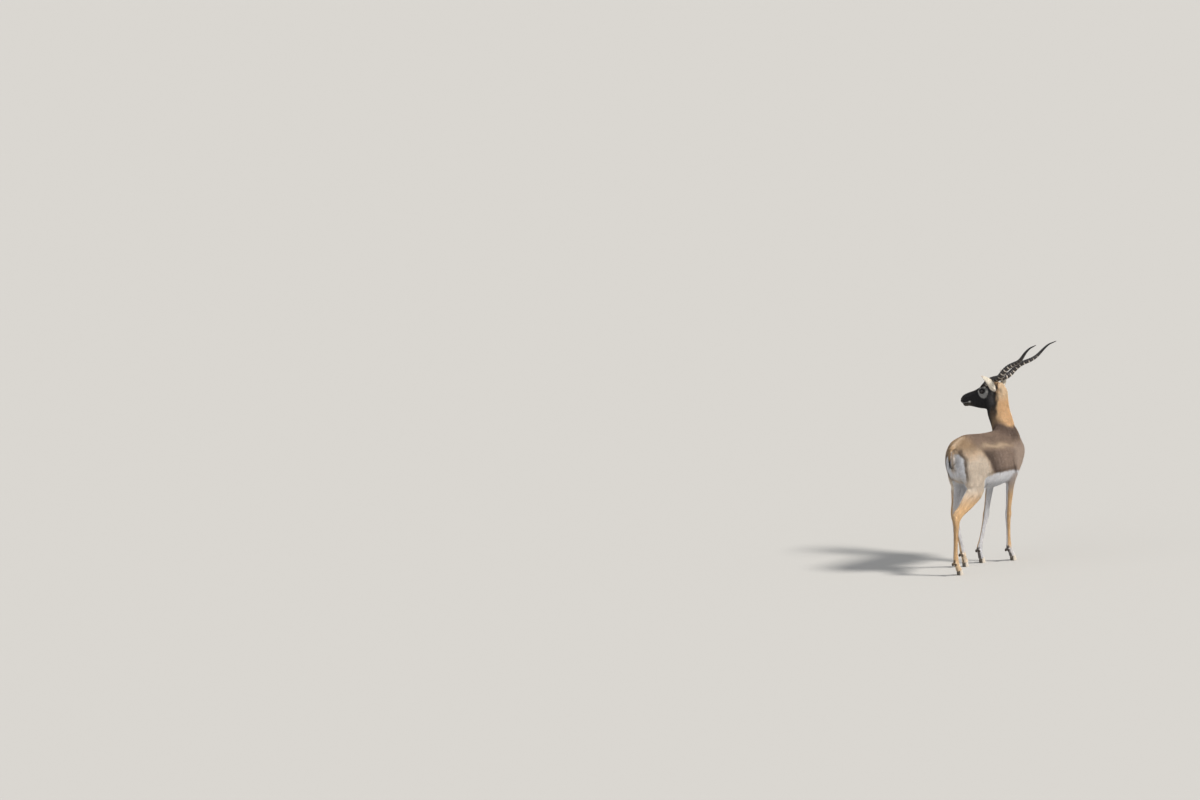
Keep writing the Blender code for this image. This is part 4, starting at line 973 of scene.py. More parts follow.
def paintUnder(col, points, normals, near, grain, edge):
    # white belly and brisket with a dark edge over it, painted shade in the armpits, and the white rump
    # patches beside the tail
    x, y, z = points.T
    limbNear = near[:, 3:7]
    belly = ramp(bellyLine(x) - z + edge, -0.006, 0.006) * ramp(x, 0.10, 0.20) * ramp(0.73 - x, 0, 0.04)
    outerThigh = ramp(0.235 - x, 0, 0.03) * ramp(np.abs(y), 0.055, 0.075)
    outward = ramp(np.abs(normals[:, 1]) * np.sign(y * normals[:, 1]), 0.1, 0.4)
    outerArm = ramp(-limbNear[:, :2].min(axis=1), -0.012, 0.004) * ramp(x, 0.50, 0.545) * outward
    belly *= (1 - outerThigh) * (1 - outerArm) * ramp(z, 0.40, 0.46)
    rim = bump(z + edge, bellyLine(x) + 0.012, 0.013) * ramp(x, 0.24, 0.30) * ramp(0.60 - x, 0, 0.04)
    col = lay(col, "edge", 0.40 * rim)
    col = lay(col, "white", belly)
    # painted shade in the armpit, where the foreleg meets the body
    armpitShade = bump(x + 0.5 * (z - 0.56), 0.575, 0.012) * bump(z, 0.570, 0.038) * ramp(np.abs(y), 0.045, 0.065)
    col = lay(col, "edge", 0.75 * armpitShade)
    between = ramp(np.abs(y), 0.050, 0.030) * ramp(0.72 - x, 0, 0.04)
    inside = ramp(0.50 - z, 0, 0.05) * ramp(z, 0.40, 0.44) * between
    col = lay(col, "white", inside)
    # the rump patch: half width, how far out each point is, and where it may show
    patch = 0.064 + 0.016 * ramp(0.66 - z, 0.0, 0.10) - 0.035 * ramp(z, 0.685, 0.735)
    patch -= 0.009 * ramp(y, 0.0, 0.02)
    reach = np.abs(y) * 0.95 + np.maximum(x - 0.045, 0) * 0.9 + edge
    back = ramp(0.150 - x, 0.0, 0.03) * ramp(z, 0.50, 0.61)
    outer = ramp(np.abs(y), 0.022, 0.044) * back
    col = lay(col, "edge", 0.70 * ramp(patch + 0.044 - reach, 0, 0.036) * ramp(0.765 - z, 0, 0.03) * outer)
    col = lay(col, "edge", 0.35 * bump(reach, patch + 0.004, 0.009) * ramp(0.755 - z, 0, 0.02) * outer)
    col = lay(col, "white", ramp(patch - reach, -0.004, 0.005) * back * ramp(0.728 - z, 0.0, 0.010))
    return lay(col, "rumpSide", 0.85 * bump(y + 0.3 * edge, 0.0, 0.016) * ramp(z, 0.58, 0.66) * back)


def paintNeck(col, points, normals, near, grain, edge):
    # tan neck, cream behind the head, black throat from the jaw to the chest
    x, y, z = points.T
    turn, place = neckTurn(points)
    border = 0.760 + 0.044 * ramp(np.abs(turn), 40, 120)
    onNeck = ramp(z + edge - border, -0.010, 0.008) * ramp(x, 0.595, 0.640)
    onNeck = np.maximum(onNeck, ramp(-near[:, 1], -0.01, 0.01) * ramp(z, 0.82, 0.84))
    col = lay(col, "neck", onNeck)
    col = lay(col, "rump", 0.30 * onNeck * ramp(grain, 0.0, 1.0))
    col = lay(col, "cream", 0.80 * onNeck * ramp(z, 0.930, 0.985) * ramp(np.abs(turn), 95, 130))
    spread = 106 - 56 * ramp(0.775 - z, 0, 0.10)
    throat = ramp(spread - np.abs(turn) + 6 * grain, -12, 12)
    throat *= ramp(z, 0.665, 0.715) * ramp(-near[:, 1], -0.03, -0.005)
    throat *= np.maximum(onNeck, ramp(64 - np.abs(turn), 0, 16))
    return lay(col, "throat", 0.985 * throat)


def paintTail(col, points, normals, near):
    onTail = ramp(near[:, 0] - near[:, 2], 0.000, 0.006) * (points[:, 0] < 0.02) * (points[:, 2] > 0.6)
    col = lay(col, "rump", onTail)
    col = lay(col, "tailTip", onTail * ramp(0.712 - points[:, 2], 0.0, 0.030))
    return lay(col, "white", 0.8 * onTail * ramp(normals[:, 0], 0.3, 0.7))


def paintHead(col, points, near):
    # black face with a pale ring round the eye, a spot at the corner of the mouth, pale ear roots, a painted
    # sheen on the cheek and a painted shadow of each ear behind its root
    h = toHead(points)
    hx, hy, hz = h.T
    onHead = ramp(0.006 - near[:, 7], 0.0, 0.006)
    onHead = np.maximum(onHead, ramp(hx, -0.075, -0.055) * (near[:, 7] < 0.05))
    nape = ramp(-hx - 0.35 * (hz + 0.06), 0.066, 0.088)
    dark = onHead * (1 - nape)
    col = lay(col, "face", dark)
    # painted sheen: the black fur of the cheek made grey where light glances off it
    col = lay(col, "cheekSheen", 0.9 * dark * bump(hx, -0.064, 0.030) * bump(hz, -0.060, 0.040))
    nose = ramp(hz - 0.10 * hx, -0.004, 0.010) * ramp(hx, 0.015, 0.05) * ramp(0.145 - hx, 0, 0.02)
    col = lay(col, "bridge", 0.8 * dark * nose)
    col = lay(col, "forehead", 0.8 * dark * ramp(hz, 0.010, 0.028) * ramp(0.03 - hx, 0, 0.03))
    off = np.column_stack([hx, np.abs(hy) - headShape["eyeAt"][1], hz])
    gland = bump(off[:, 0], 0.036, 0.014) * bump(off[:, 2], -0.010, 0.012) * (np.abs(hy) > 0.015)
    col = lay(col, "gland", 0.9 * dark * gland)
    wide = np.where(off[:, 0] > 0, 0.0300, 0.0370)
    tall = np.where(off[:, 2] > 0, 0.0255, 0.0450)
    ring = np.sqrt((off[:, 0] / wide) ** 2 + (off[:, 2] / tall) ** 2)
    outside = ramp(np.abs(hy), 0.020, 0.028)
    pale = ramp(1.0 - ring + 0.07 * wander(points, 0.02, 6), -0.06, 0.14) * outside * dark
    col = lay(col, "eyeRing", pale * (0.50 + 0.50 * ramp(-off[:, 2], -0.014, 0.012)))
    for spotX, spotZ, size in ringSpots:
        spot = np.hypot(off[:, 0] - spotX, off[:, 2] - spotZ)
        col = lay(col, "ringSpot", 0.75 * np.exp(-(spot / size) ** 2) * outside * dark)
    inner = np.sqrt((off[:, 0] / 0.0205) ** 2 + ((off[:, 2] - 0.0010) / 0.0175) ** 2)
    col = lay(col, "lid", 0.94 * ramp(1.0 - inner, -0.08, 0.12) * outside * onHead)
    lipPlace = np.interp(hx, [0.09, 0.112, 0.128, 0.142, 0.152], [-0.037, -0.0345, -0.0335, -0.0325, -0.0320])
    col = lay(col, "chin", 0.8 * onHead * bump(hx, 0.122, 0.026) * ramp(-hz, 0.043, 0.053))
    col = lay(col, "lip", 0.50 * onHead * bump(hz, lipPlace - 0.0055, 0.0022) * ramp(hx, 0.098, 0.110))
    mouthCorner = bump(hx, 0.100, 0.0065) * bump(hz, -0.0400, 0.0048) * outsideOf(hy, 0.012)
    col = lay(col, "ringSpot", 0.95 * onHead * mouthCorner)
    col = lay(col, "nose", 0.95 * onHead * ramp(hx - 0.3 * hz, 0.146, 0.153) * ramp(hz, -0.031, -0.026))
    nostril = bump(hx, 0.1385, 0.0028) * bump(hz, -0.0110, 0.008) * outsideOf(hy, 0.015)
    col = lay(col, "chin", 0.40 * onHead * nostril)
    for side in (-1, 1):
        away = np.linalg.norm(h - earRoot(side), axis=1)
        col = lay(col, "ringSpot", 0.55 * ramp(0.030 - away, 0, 0.014) * onHead)
        below = h - (earRoot(side) + [-0.014, side * -0.012, -0.026])
        col = lay(col, "cream", 0.8 * np.exp(-(np.linalg.norm(below, axis=1) / 0.014) ** 2))
        # painted shadow of the ear cast on the neck behind its root, in the dark brown of the withers
        behind = h - (earRoot(side) + [-0.026, side * -0.016, 0.000])
        col = lay(col, "withersAndEarShadow", 0.60 * np.exp(-(np.linalg.norm(behind * [1, 1, 0.5], axis=1) / 0.011) ** 2))
    return col


def markings(points, normals, near):
    grain = wander(points, 0.055, 4)
    coarse = wander(points, 0.16, 5)
    edge = 0.004 * grain                      # makes every border a little uneven
    col = np.tile(colours["back"], (len(points), 1))
    for painter in (paintTrunk, paintLegs, paintUnder, paintNeck):
        col = painter(col, points, normals, near, grain, edge)
    col = paintTail(col, points, normals, near)
    col = paintHead(col, points, near)
    # gentle unevenness all over
    return np.clip(col * (1 + 0.055 * coarse + 0.05 * grain)[:, None], 0.003, 0.95)


# the skin: one closed sheet from nose to hooves, a coat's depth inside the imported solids

skinMaking = {
    "bodyStep": 0.0042,
    "headStep": 0.0016,
    "bodyBox": ((-0.13, -0.16, 0.0), (0.84, 0.42, 1.12)),
    "headBox": ((-0.16, -0.09, -0.17), (0.175, 0.09, 0.09)),       # in the head's frame
    "coatDepth": {"trunk": 0.0026, "neck": 0.0026, "tail": 0.0010, "leg": 0.0010, "head": 0.0007},
    "cut": (-0.070, 0.0, -0.050),       # where the head's finer sheet meets the neck's
    "cutWay": (0.757, 0.0, 0.654),
    "cutGap": 0.0024,                   # left between the two sheets, then sewn up
    "cutReach": 0.24,                   # how far from the head's middle the cut goes
}


def cutSheet(points, faces, centre, normal, keep):
    # the sheet on one side of a plane, and the loop of points where it ends
    work = bmesh.new()
    verts = [work.verts.new(p) for p in points]
    for face in faces:
        work.faces.new([verts[i] for i in face])
    headMiddle = Vector(headPlace["middle"])
    near = [f for f in work.faces if (f.calc_center_median() - headMiddle).length < skinMaking["cutReach"]]
    geom = list({v for f in near for v in f.verts}) + list({e for f in near for e in f.edges}) + near
    bmesh.ops.bisect_plane(work, geom=geom, plane_co=centre, plane_no=normal, dist=1e-5)
    gone = [f for f in work.faces if (f.calc_center_median() - headMiddle).length < skinMaking["cutReach"]
            and (f.calc_center_median() - centre).dot(normal) * keep < 0]
    bmesh.ops.delete(work, geom=gone, context="FACES")
    # drop everything that no longer hangs together with the kept side
    best, seen = [], set()
    for seed in work.verts:
        if seed in seen:
            continue
        group, stack = [seed], [seed]
        seen.add(seed)
        while stack:
            for e in stack.pop().link_edges:
                for v in e.verts:
                    if v not in seen:
                        seen.add(v)
                        group.append(v)
                        stack.append(v)
        if len(group) > len(best):
            best = group
    bmesh.ops.delete(work, geom=list(set(work.verts) - set(best)), context="VERTS")
    bmesh.ops.triangulate(work, faces=[f for f in work.faces if len(f.verts) != 4])
    work.verts.index_update()
    border = {v.index for e in work.edges if len(e.link_faces) == 1 for v in e.verts}
    newPoints = np.array([v.co[:] for v in work.verts])
    newFaces = []
    for f in work.faces:
        ids = [v.index for v in f.verts]
        newFaces.append((ids[0], ids[1], ids[2]))
        if len(ids) == 4:
            newFaces.append((ids[0], ids[2], ids[3]))
    work.free()
    return newPoints, newFaces, sorted(border)


def sewn(pointsA, facesA, rimA, pointsB, facesB, rimB, normal):
    # two sheets joined by a ring of faces between their rims, walked round the plane's middle
    side = unit(np.cross(normal, (0, 0, 1)))
    up = np.cross(side, normal)
    middle = pointsA[rimA].mean(axis=0)
    count = len(pointsA)
    points = np.vstack([pointsA, pointsB])

    def ordered(ids):
        angle = np.arctan2((points[ids] - middle) @ up, (points[ids] - middle) @ side)
        order = np.argsort(angle)
        return [ids[i] for i in order], angle[order]

    ringA, angleA = ordered(list(rimA))
    ringB, angleB = ordered([i + count for i in rimB])
    faces = list(facesA) + [tuple(i + count for i in f) for f in facesB]
    i = j = 0
    while i < len(ringA) or j < len(ringB):
        a, b = ringA[i % len(ringA)], ringB[j % len(ringB)]
        nextA = angleA[i + 1] if i + 1 < len(ringA) else (9.0 if i >= len(ringA) else math.pi + angleA[0])
        nextB = angleB[j + 1] if j + 1 < len(ringB) else (9.0 if j >= len(ringB) else math.pi + angleB[0])
        if j >= len(ringB) or (i < len(ringA) and nextA <= nextB):
            faces.append((a, ringA[(i + 1) % len(ringA)], b))
            i += 1
        else:
            faces.append((a, ringB[(j + 1) % len(ringB)], b))
            j += 1
    return points, faces


def relief(points, normals, near):
    # ribs, folds inside the bend of the neck and small unevenness, in metres along the normal
    x, y, z = points.T
    ribs = np.sin(2 * math.pi * (x + 0.35 * (z - 0.62)) / 0.034) * ramp(x, 0.28, 0.34)
    ribs = ribs * ramp(0.55 - x, 0, 0.06) * ramp(np.abs(normals[:, 1]), 0.6, 0.9)
    ribs = ribs * ramp(z, 0.52, 0.58) * ramp(0.74 - z, 0, 0.05)
    turn, place = neckTurn(points)
    onNeck = ramp(-near[:, 1], -0.004, 0.008)
    folds = np.sin(2 * math.pi * place * neck["folds"] + 0.6 * np.sin(turn / 20)) * onNeck
    folds = folds * bump(turn, 70, 46) * bump(place, 0.42, 0.26)
    height = trunk["rib"] * ribs + neck["fold"] * folds
    return height + 0.0006 * wander(points, 0.05, 9) + 0.0004 * wander(points, 0.02, 10)


def makeSkin():
    form = joinHead(bodyForm())
    step = skinMaking["bodyStep"]
    points, faces = sheet(form, *skinMaking["bodyBox"], step)
    points = settled(form, points, step)
    print("body sheet", len(points))
    fine = skinMaking["headStep"]
    box = fromHead(boxCorners(*skinMaking["headBox"]))
    headPoints, headFaces = sheet(form, box.min(axis=0), box.max(axis=0), fine)
    headPoints = settled(form, headPoints, fine)
    print("head sheet", len(headPoints))
    centre = Vector(fromHead(skinMaking["cut"]))
    normal = Vector(headAxes @ unit(skinMaking["cutWay"]))
    apart = normal * (skinMaking["cutGap"] / 2)
    bodyCut = cutSheet(points, faces, centre - apart, normal, -1)
    headCut = cutSheet(headPoints, headFaces, centre + apart, normal, 1)
    points, faces = sewn(*bodyCut, *headCut, np.array(normal))
    near = nearness(points)
    normals = units(slopeAt(form, points))
    depth = perPart(skinMaking["coatDepth"], near, 0.012)
    # no coat depth at the edge of the lids
    for side in (-1, 1):
        away = np.linalg.norm(toHead(points) - np.array(headShape["eyeAt"]) * (1, side, 1), axis=1)
        depth *= ramp(away, 0.018, 0.024)
    points = points + normals * (relief(points, normals, near) * ramp(depth, 0, 0.0008) - depth)[:, None]
    return form, points, np.array(faces), normals, near


form, skinPoints, skinFaces, skinNormals, skinNear = makeSkin()
skinColours = markings(skinPoints, skinNormals, skinNear)
skin = newPiece("skin", skinPoints, skinFaces, skinColours)
turnedOut(skin)
skin.data.materials.append(finish("shortFur", 0.72, 0.16, 260, 0.55, 900, 0.30, fine=2600))
flesh = ["torso", "neck", "head", "tail"]
flesh += [foot + "_" + part for foot in soles for part in ("leg", "shin", "foot")]
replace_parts(skin, *flesh)
print("skin done", len(skinFaces), "faces")

# the coat: flat tapered tufts lying along the body

coat = {
    "length": {"trunk": 0.0150, "neck": 0.0135, "tail": 0.0280, "leg": 0.0075, "head": 0.0052},
    "width": {"trunk": 0.0022, "neck": 0.0020, "tail": 0.0022, "leg": 0.0013, "head": 0.0010},
    "cover": {"trunk": 1.75, "neck": 1.7, "tail": 5.0, "leg": 1.2, "head": 1.0},
    "lift": 0.65,           # how much of the coat's depth the tips stand over the skin
    "stray": 0.16,          # how far single tufts and whole areas turn from the hair's way
    "swirl": 0.22,
    "most": 19900,          # tufts in one piece
    "quickShare": 0.08,
    "mapPatch": 0.003,      # size of a tuft on the map
    "bend": 0.52,           # where along a tuft its widest ring stands
    "aroundHorn": 0.0185,   # bare skin round each horn and ear, in front of the nose and over the hooves
    "aroundEar": 0.0125,
    "noseFront": 0.149,
    "hoofTop": 0.034,
    "lids": (0.0165, 0.0130),
    "seed": 31,
}


def tuftShapes(roots, ways, normals, length, width, rise, thick, middle=None, tip=None):
    # three-sided tapered tufts: a ring at the root, a ring past the middle and a point
    side = np.cross(normals, ways)
    if middle is None:
        middle = roots + ways * (length * coat["bend"])[:, None] + normals * (rise * 0.85)[:, None]
        tip = roots + ways * length[:, None] + normals * rise[:, None]
    root = roots - normals * 0.0004
    half = (width / 2)[:, None]
    top = normals * thick[:, None]
    points = np.stack([root - side * half * 0.75, root + side * half * 0.75, root + top,
                       middle - side * half, middle + side * half, middle + top, tip], axis=1)
    pattern = np.array([[0, 1, 2], [1, 0, 3], [1, 3, 4], [2, 1, 4], [2, 4, 5], [0, 2, 5], [0, 5, 3],
                        [4, 3, 6], [5, 4, 6], [3, 5, 6]])
    faces = (pattern[None] + 7 * np.arange(len(roots))[:, None, None]).reshape(-1, 3)
    return points.reshape(-1, 3), faces


def tuftColours(colours, rng, tipLight=1.10, rootDark=0.80, spread=0.09):
    light = 1 + spread * rng.normal(size=len(colours)).clip(-2, 2)
    warm = 1 + 0.02 * rng.normal(size=len(colours))
    tint = colours * light[:, None] * np.column_stack([warm, np.ones(len(colours)), 2 - warm])
    shades = np.array([rootDark, rootDark, rootDark, 1.0, 1.0, 1.04, tipLight])
    return np.clip(tint[:, None, :] * shades[None, :, None], 0.002, 0.96).reshape(-1, 3)


def tuftMap(across, along):
    # each tuft is a small patch at its root's place on the unwrapped skin
    size = coat["mapPatch"]
    outline = np.array([(-0.5, 0.0), (0.5, 0.0), (0.0, 0.22),
                        (-0.5, 0.5), (0.5, 0.5), (0.0, 0.72), (0.0, 1.0)])
    spot = np.column_stack([across, along]) * 0.99 + size
    return (spot[:, None, :] + outline[None] * size).reshape(-1, 2)


def hugged(spots, normals, wanted):
    # points brought to a wanted height over the CAD's form
    return spots - normals * (valueAt(form, spots) - wanted)[:, None]


def bareSkin(centre, near):
    # lids, nose, the seats of horns and ears, and the coronets carry no coat
    h = toHead(centre)
    bare = (h[:, 0] - 0.3 * h[:, 2] > coat["noseFront"]) & (near[:, 7] < 0.02)
    bare |= centre[:, 2] < coat["hoofTop"]
    for side in (-1, 1):
        off = h - np.array(headShape["eyeAt"]) * (1, side, 1)
        lids = np.sqrt((off[:, 0] / coat["lids"][0]) ** 2 + (off[:, 2] / coat["lids"][1]) ** 2)
        bare |= (lids < 1) & (np.abs(off[:, 1]) < 0.03)
        bare |= np.linalg.norm(h - np.array(horn["base"]) * (1, side, 1), axis=1) < coat["aroundHorn"]
        bare |= np.linalg.norm(h - earRoot(side), axis=1) < coat["aroundEar"]
    return bare


def scatterRoots(rng):
    # places of the tufts on the skin, each a share of its face's corners
    tri = skinPoints[skinFaces]
    area = np.linalg.norm(np.cross(tri[:, 1] - tri[:, 0], tri[:, 2] - tri[:, 0]), axis=1) / 2
    near = skinNear[skinFaces].mean(axis=1)
    length, width, cover = (perPart(coat[key], near) for key in ("length", "width", "cover"))
    weight = area * cover / (0.6 * length * width)
    weight[bareSkin(tri.mean(axis=1), near)] = 0
    count = int(weight.sum() * (1.0))
    pick = np.searchsorted(np.cumsum(weight) / weight.sum(), (np.arange(count) + rng.random(count)) / count)
    pick = np.clip(pick, 0, len(weight) - 1)
    a, b = rng.random(count), rng.random(count)
    swap = a + b > 1
    a[swap], b[swap] = 1 - a[swap], 1 - b[swap]
    return skinFaces[pick], np.column_stack([1 - a - b, a, b])[:, :, None]


def coatGroups(roots, near):
    # which tufts belong to each piece of the coat
    groups = {}
    part = near.argmin(axis=1)
    for i, name in enumerate(pieceNames):
        mine = part == i
        title = "coat" + name[0].upper() + name[1:]
        if name == "trunk":
            for word, sideMask in (("Left", roots[:, 1] >= 0), ("Right", roots[:, 1] < 0)):
                for end, low, high in (("Front", 0.42, 9.0), ("Middle", 0.2, 0.42), ("Rear", -9.0, 0.2)):
                    groups[title + word + end] = mine & sideMask & (roots[:, 0] >= low) & (roots[:, 0] < high)
        elif name == "head":
            left = toHead(roots)[:, 1] >= 0
            groups[title + "Left"], groups[title + "Right"] = mine & left, mine & ~left
        elif name == "neck":
            upper = roots[:, 2] >= 0.85
            groups[title + "Lower"], groups[title + "Upper"] = mine & ~upper, mine & upper
        elif name.startswith("hind"):
            upper = roots[:, 2] >= 0.48
            groups[title + "Upper"], groups[title + "Lower"] = mine & upper, mine & ~upper
        else:
            groups[title] = mine
    return groups


def unwrapped(name, roots):
    # place on the map: round the part's line and along it, or round the head and along it
    line = [key for key in hairLines if key.lower() in name.lower()]
    if line:
        _, along, foot = alongLine(roots, hairLines[line[0]])
        off = roots - foot
        level = off[:, 2] if line[0] == "trunk" else off[:, 0]
        around = np.arctan2(off[:, 1], level)
    else:
        h = toHead(roots)
        along = np.clip((h[:, 0] + 0.12) / 0.30, 0, 1)
        around = np.arctan2(h[:, 1], h[:, 2] + 0.03)
    return around / (2 * math.pi) + 0.5, along


def growCoat():
    rng = np.random.default_rng(coat["seed"])
    corner, share = scatterRoots(rng)
    count = len(corner)
    roots = (skinPoints[corner] * share).sum(axis=1)
    normals = units((skinNormals[corner] * share).sum(axis=1))
    near = (skinNear[corner] * share).sum(axis=1)
    way = hairWay(roots, normals, near)
    side = np.cross(normals, way)
    stray = side * (coat["stray"] * rng.normal(size=count))[:, None]
    swirl = side * (coat["swirl"] * wander(roots, 0.10, 21))[:, None]
    way = units(way + stray + swirl)
    length = perPart(coat["length"], near) * rng.uniform(0.72, 1.22, count)
    width = perPart(coat["width"], near) * rng.uniform(0.8, 1.2, count)
    # shorter on the lower legs and toward the muzzle
    length *= 1 - 0.35 * ramp(0.14 - roots[:, 2], 0, 0.06)
    muzzle = toHead(roots)[:, 0]
    length *= 1 - 0.45 * ramp(muzzle, 0.04, 0.13) * (near[:, 7] < 0.02)
    depth = perPart(skinMaking["coatDepth"], near)
    rise = depth * coat["lift"] * rng.uniform(0.6, 1.5, count) + 0.0002
    thick = width * 0.22
    middle = hugged(roots + way * (length * coat["bend"])[:, None], normals, -depth + rise * 0.9)
    tip = hugged(roots + way * length[:, None], normals, -depth + rise)
    shade = markings(roots + way * (length * 0.25)[:, None], normals, near)
    hair = finish("coatHair", 0.66, 0.10, 420, 0.25, 1500, 0.28, sheen=0.10)
    made = 0
    for name, mask in coatGroups(roots, near).items():
        ids = np.flatnonzero(mask)[:coat["most"]]
        if len(ids) == 0:
            continue
        points, faces = tuftShapes(roots[ids], way[ids], normals[ids], length[ids], width[ids],
                                   rise[ids], thick[ids], middle[ids], tip[ids])
        uv = tuftMap(*unwrapped(name, roots[ids]))
        piece = newPiece(name, points, faces, tuftColours(shade[ids], rng), uv=uv)
        piece.data.materials.append(hair)
        made += len(ids)
        print(name, len(ids))
    print("coat done", made, "tufts")
    return hair


hairFinish = growCoat()

# the horns: rings over a spiral, worn pale on their crests, with painted shade keeping the upper sides dark,
# smooth and dark at the tip

hornLook = {
    "rows": 460,
    "around": 36,
    "ring": 0.125,            # ring height as a share of the radius
    "dark": paint(20, 17, 17),
    "pale": paint(214, 204, 190),
    "warm": paint(46, 34, 30),
    "tipDark": paint(15, 14, 14),
    # how strong the pale bands are at places along each horn
    "bandPlaces": (0.0, 0.12, 0.24, 0.36, 0.48, 0.60, 0.80),
    "bandsLeft": (0.55, 0.60, 0.30, 1.0, 1.0, 0.25, 0.0),
    "bandsRight": (0.50, 0.75, 1.0, 1.0, 1.0, 0.80, 0.2),
}


def makeHorn(side, name):
    rows, around = hornLook["rows"], hornLook["around"]
    t = np.linspace(0.0, 0.993, rows)
    path = hornLine(side, t)
    ahead = units(hornLine(side, t + 0.003) - path)
    ahead[0] = hornStart(side)
    u = np.clip(t / horn["ringed"], 0, 1) ** (1 / 0.92) * horn["rings"]
    rings, shades = [], []
    across = unit(np.array([0.0, side, 0.0]) - ahead[0] * side * ahead[0][1])
    angle = 2 * math.pi * np.arange(around) / around
    bands = np.interp(t, hornLook["bandPlaces"], hornLook["bandsLeft" if side > 0 else "bandsRight"])
    for i in range(rows):
        across = unit(across - ahead[i] * (across @ ahead[i]))
        deep = np.cross(ahead[i], across)
        size = hornWidth(t[i])
        slant = u[i] + 0.16 * np.cos(angle - 0.6) + 0.05 * np.sin(3 * angle + u[i])
        crest = (0.5 - 0.5 * np.cos(2 * math.pi * slant)) ** 1.5
        fade = ramp(horn["ringed"] - t[i], -0.04, 0.12) * (1 - 0.45 * t[i])
        stripes = 0.012 * np.sin(angle * 11 + 2.0 * np.sin(4 * angle)) + 0.008 * np.sin(angle * 17 + 1.0)
        wide = size * (0.985 + (hornLook["ring"] * fade) * crest + stripes * (0.4 + 0.6 * (1 - crest)))
        wide = wide * (1 + 0.08 * np.cos(2 * angle))
        sideways = np.outer(np.cos(angle) * wide, across)
        rings.append(path[i] + sideways + np.outer(np.sin(angle) * wide * 0.92, deep))
        worn = ramp(crest, 0.22, 0.52) * ramp(horn["ringed"] - t[i], 0.0, 0.16)
        # the pale worn crests show only underneath: the upper side stays dark as painted shade
        wearBelowShadeAbove = ramp(np.sin(angle) * side, -0.25, 0.35)
        strong = 0.06 + 0.94 * ramp(np.sin(math.pi * slant), -0.2, 0.4)
        patchy = strong * (0.05 + 0.95 * wearBelowShadeAbove) * bands[i]
        shade = np.tile(hornLook["dark"], (around, 1))
        shade = over(shade, hornLook["warm"], np.full(around, 0.55 * (1 - t[i])))
        shade = over(shade, hornLook["pale"], worn * patchy)
        shade = over(shade, hornLook["tipDark"], np.full(around, ramp(t[i], 0.70, 0.9)))
        shades.append(shade * (1 + 6 * stripes)[:, None])
    points, tris = closedTube(rings)
    piece = turnedOut(newPiece(name, fromHead(points), tris, cappedShades(shades)))
    piece.data.materials.append(hornFinish)
    return piece


hornFinish = finish("ringedHorn", 0.42, 0.22, 180, 0.5, 700, 0.5, fine=2200)
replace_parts(makeHorn(1, "hornLeft"), "horn_left")
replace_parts(makeHorn(-1, "hornRight"), "horn_right")
print("horns done")

# the ears: cupped leaves with short fur outside and long pale hair inside, greyer toward the root as painted
# shade

earLook = {
    "rows": 72,
    "columns": 45,
    "outside": paint(245, 234, 216),
    "inside": paint(196, 166, 146),
    "edge": paint(150, 132, 112),
    "tip": paint(196, 156, 132),
    # grey for the painted shade at the base of the ear
    "root": paint(186, 178, 170),
    "insideHair": paint(238, 230, 216),
    "furTufts": 2800,
    "furLength": (0.0040, 0.0070),
    "furLift": (0.0003, 0.0007),
    "furWidth": (0.0009, 0.0014),
    "hairTufts": 1300,
    "hairLength": (0.010, 0.017),
    "hairLift": (0.0012, 0.0030),
    "hairWidth": (0.0007, 0.0011),
    "seed": 70,
}


def earWall(side, rows, columns, inner):
    # points of one wall of the ear with their place up it and across it
    root, rise = earRoot(side), earRise(side)
    length = np.linalg.norm(earTip(side) - root)
    mouth = np.array([0.80, side * (ear["inwardLeft"] if side > 0 else ear["inwardRight"]), 0.0])
    mouth = unit(mouth - rise * (mouth @ rise))
    across = np.cross(rise, mouth) * side
    outline = smoothRows([(0.0, 0.34, 1.00), (0.10, 0.46, 0.96), (0.25, 0.78, 0.80), (0.42, 0.97, 0.62),
                          (0.60, 0.90, 0.48), (0.78, 0.62, 0.36), (0.92, 0.28, 0.26), (1.0, 0.03, 0.20)], 4)
    t = np.linspace(-0.06, 1.0, rows)
    j = np.linspace(-1, 1, columns)
    half = np.interp(t, outline[:, 0], outline[:, 1]) * ear["width"] / 2
    cup = np.interp(t, outline[:, 0], outline[:, 2])
    swing = 2.35 * cup
    radius = half / np.maximum(np.sin(np.minimum(swing, math.pi / 2)), 0.2)
    thick = ear["thick"] * (1.25 - 0.85 * t.clip(0, 1))
    centre = root + np.outer(length * t, rise) - np.outer(0.012 * np.sin(math.pi * t.clip(0, 1)), mouth)
    a = swing[:, None] * j[None]
    rim = (1 - np.abs(j) ** 6)[None] * ramp(1.0 - t, 0.0, 0.04)[:, None]
    shrink = thick[:, None] * (0.5 + 0.5 * rim) if inner else thick[:, None] * 0.5 * (1 - rim)
    reach = np.maximum(radius[:, None] - shrink, radius[:, None] * 0.35)
    lift = radius * 0.55 * np.cos(np.minimum(swing, 1.2))
    points = centre[:, None, :] + lift[:, None, None] * mouth + reach[:, :, None] * (
        np.sin(a)[:, :, None] * across - np.cos(a)[:, :, None] * mouth)
    if inner:
        points += (0.0005 * np.sin(j * 16)[None, :, None] * (1 - t.clip(0, 1))[:, None, None]) * mouth
    return points, t, j


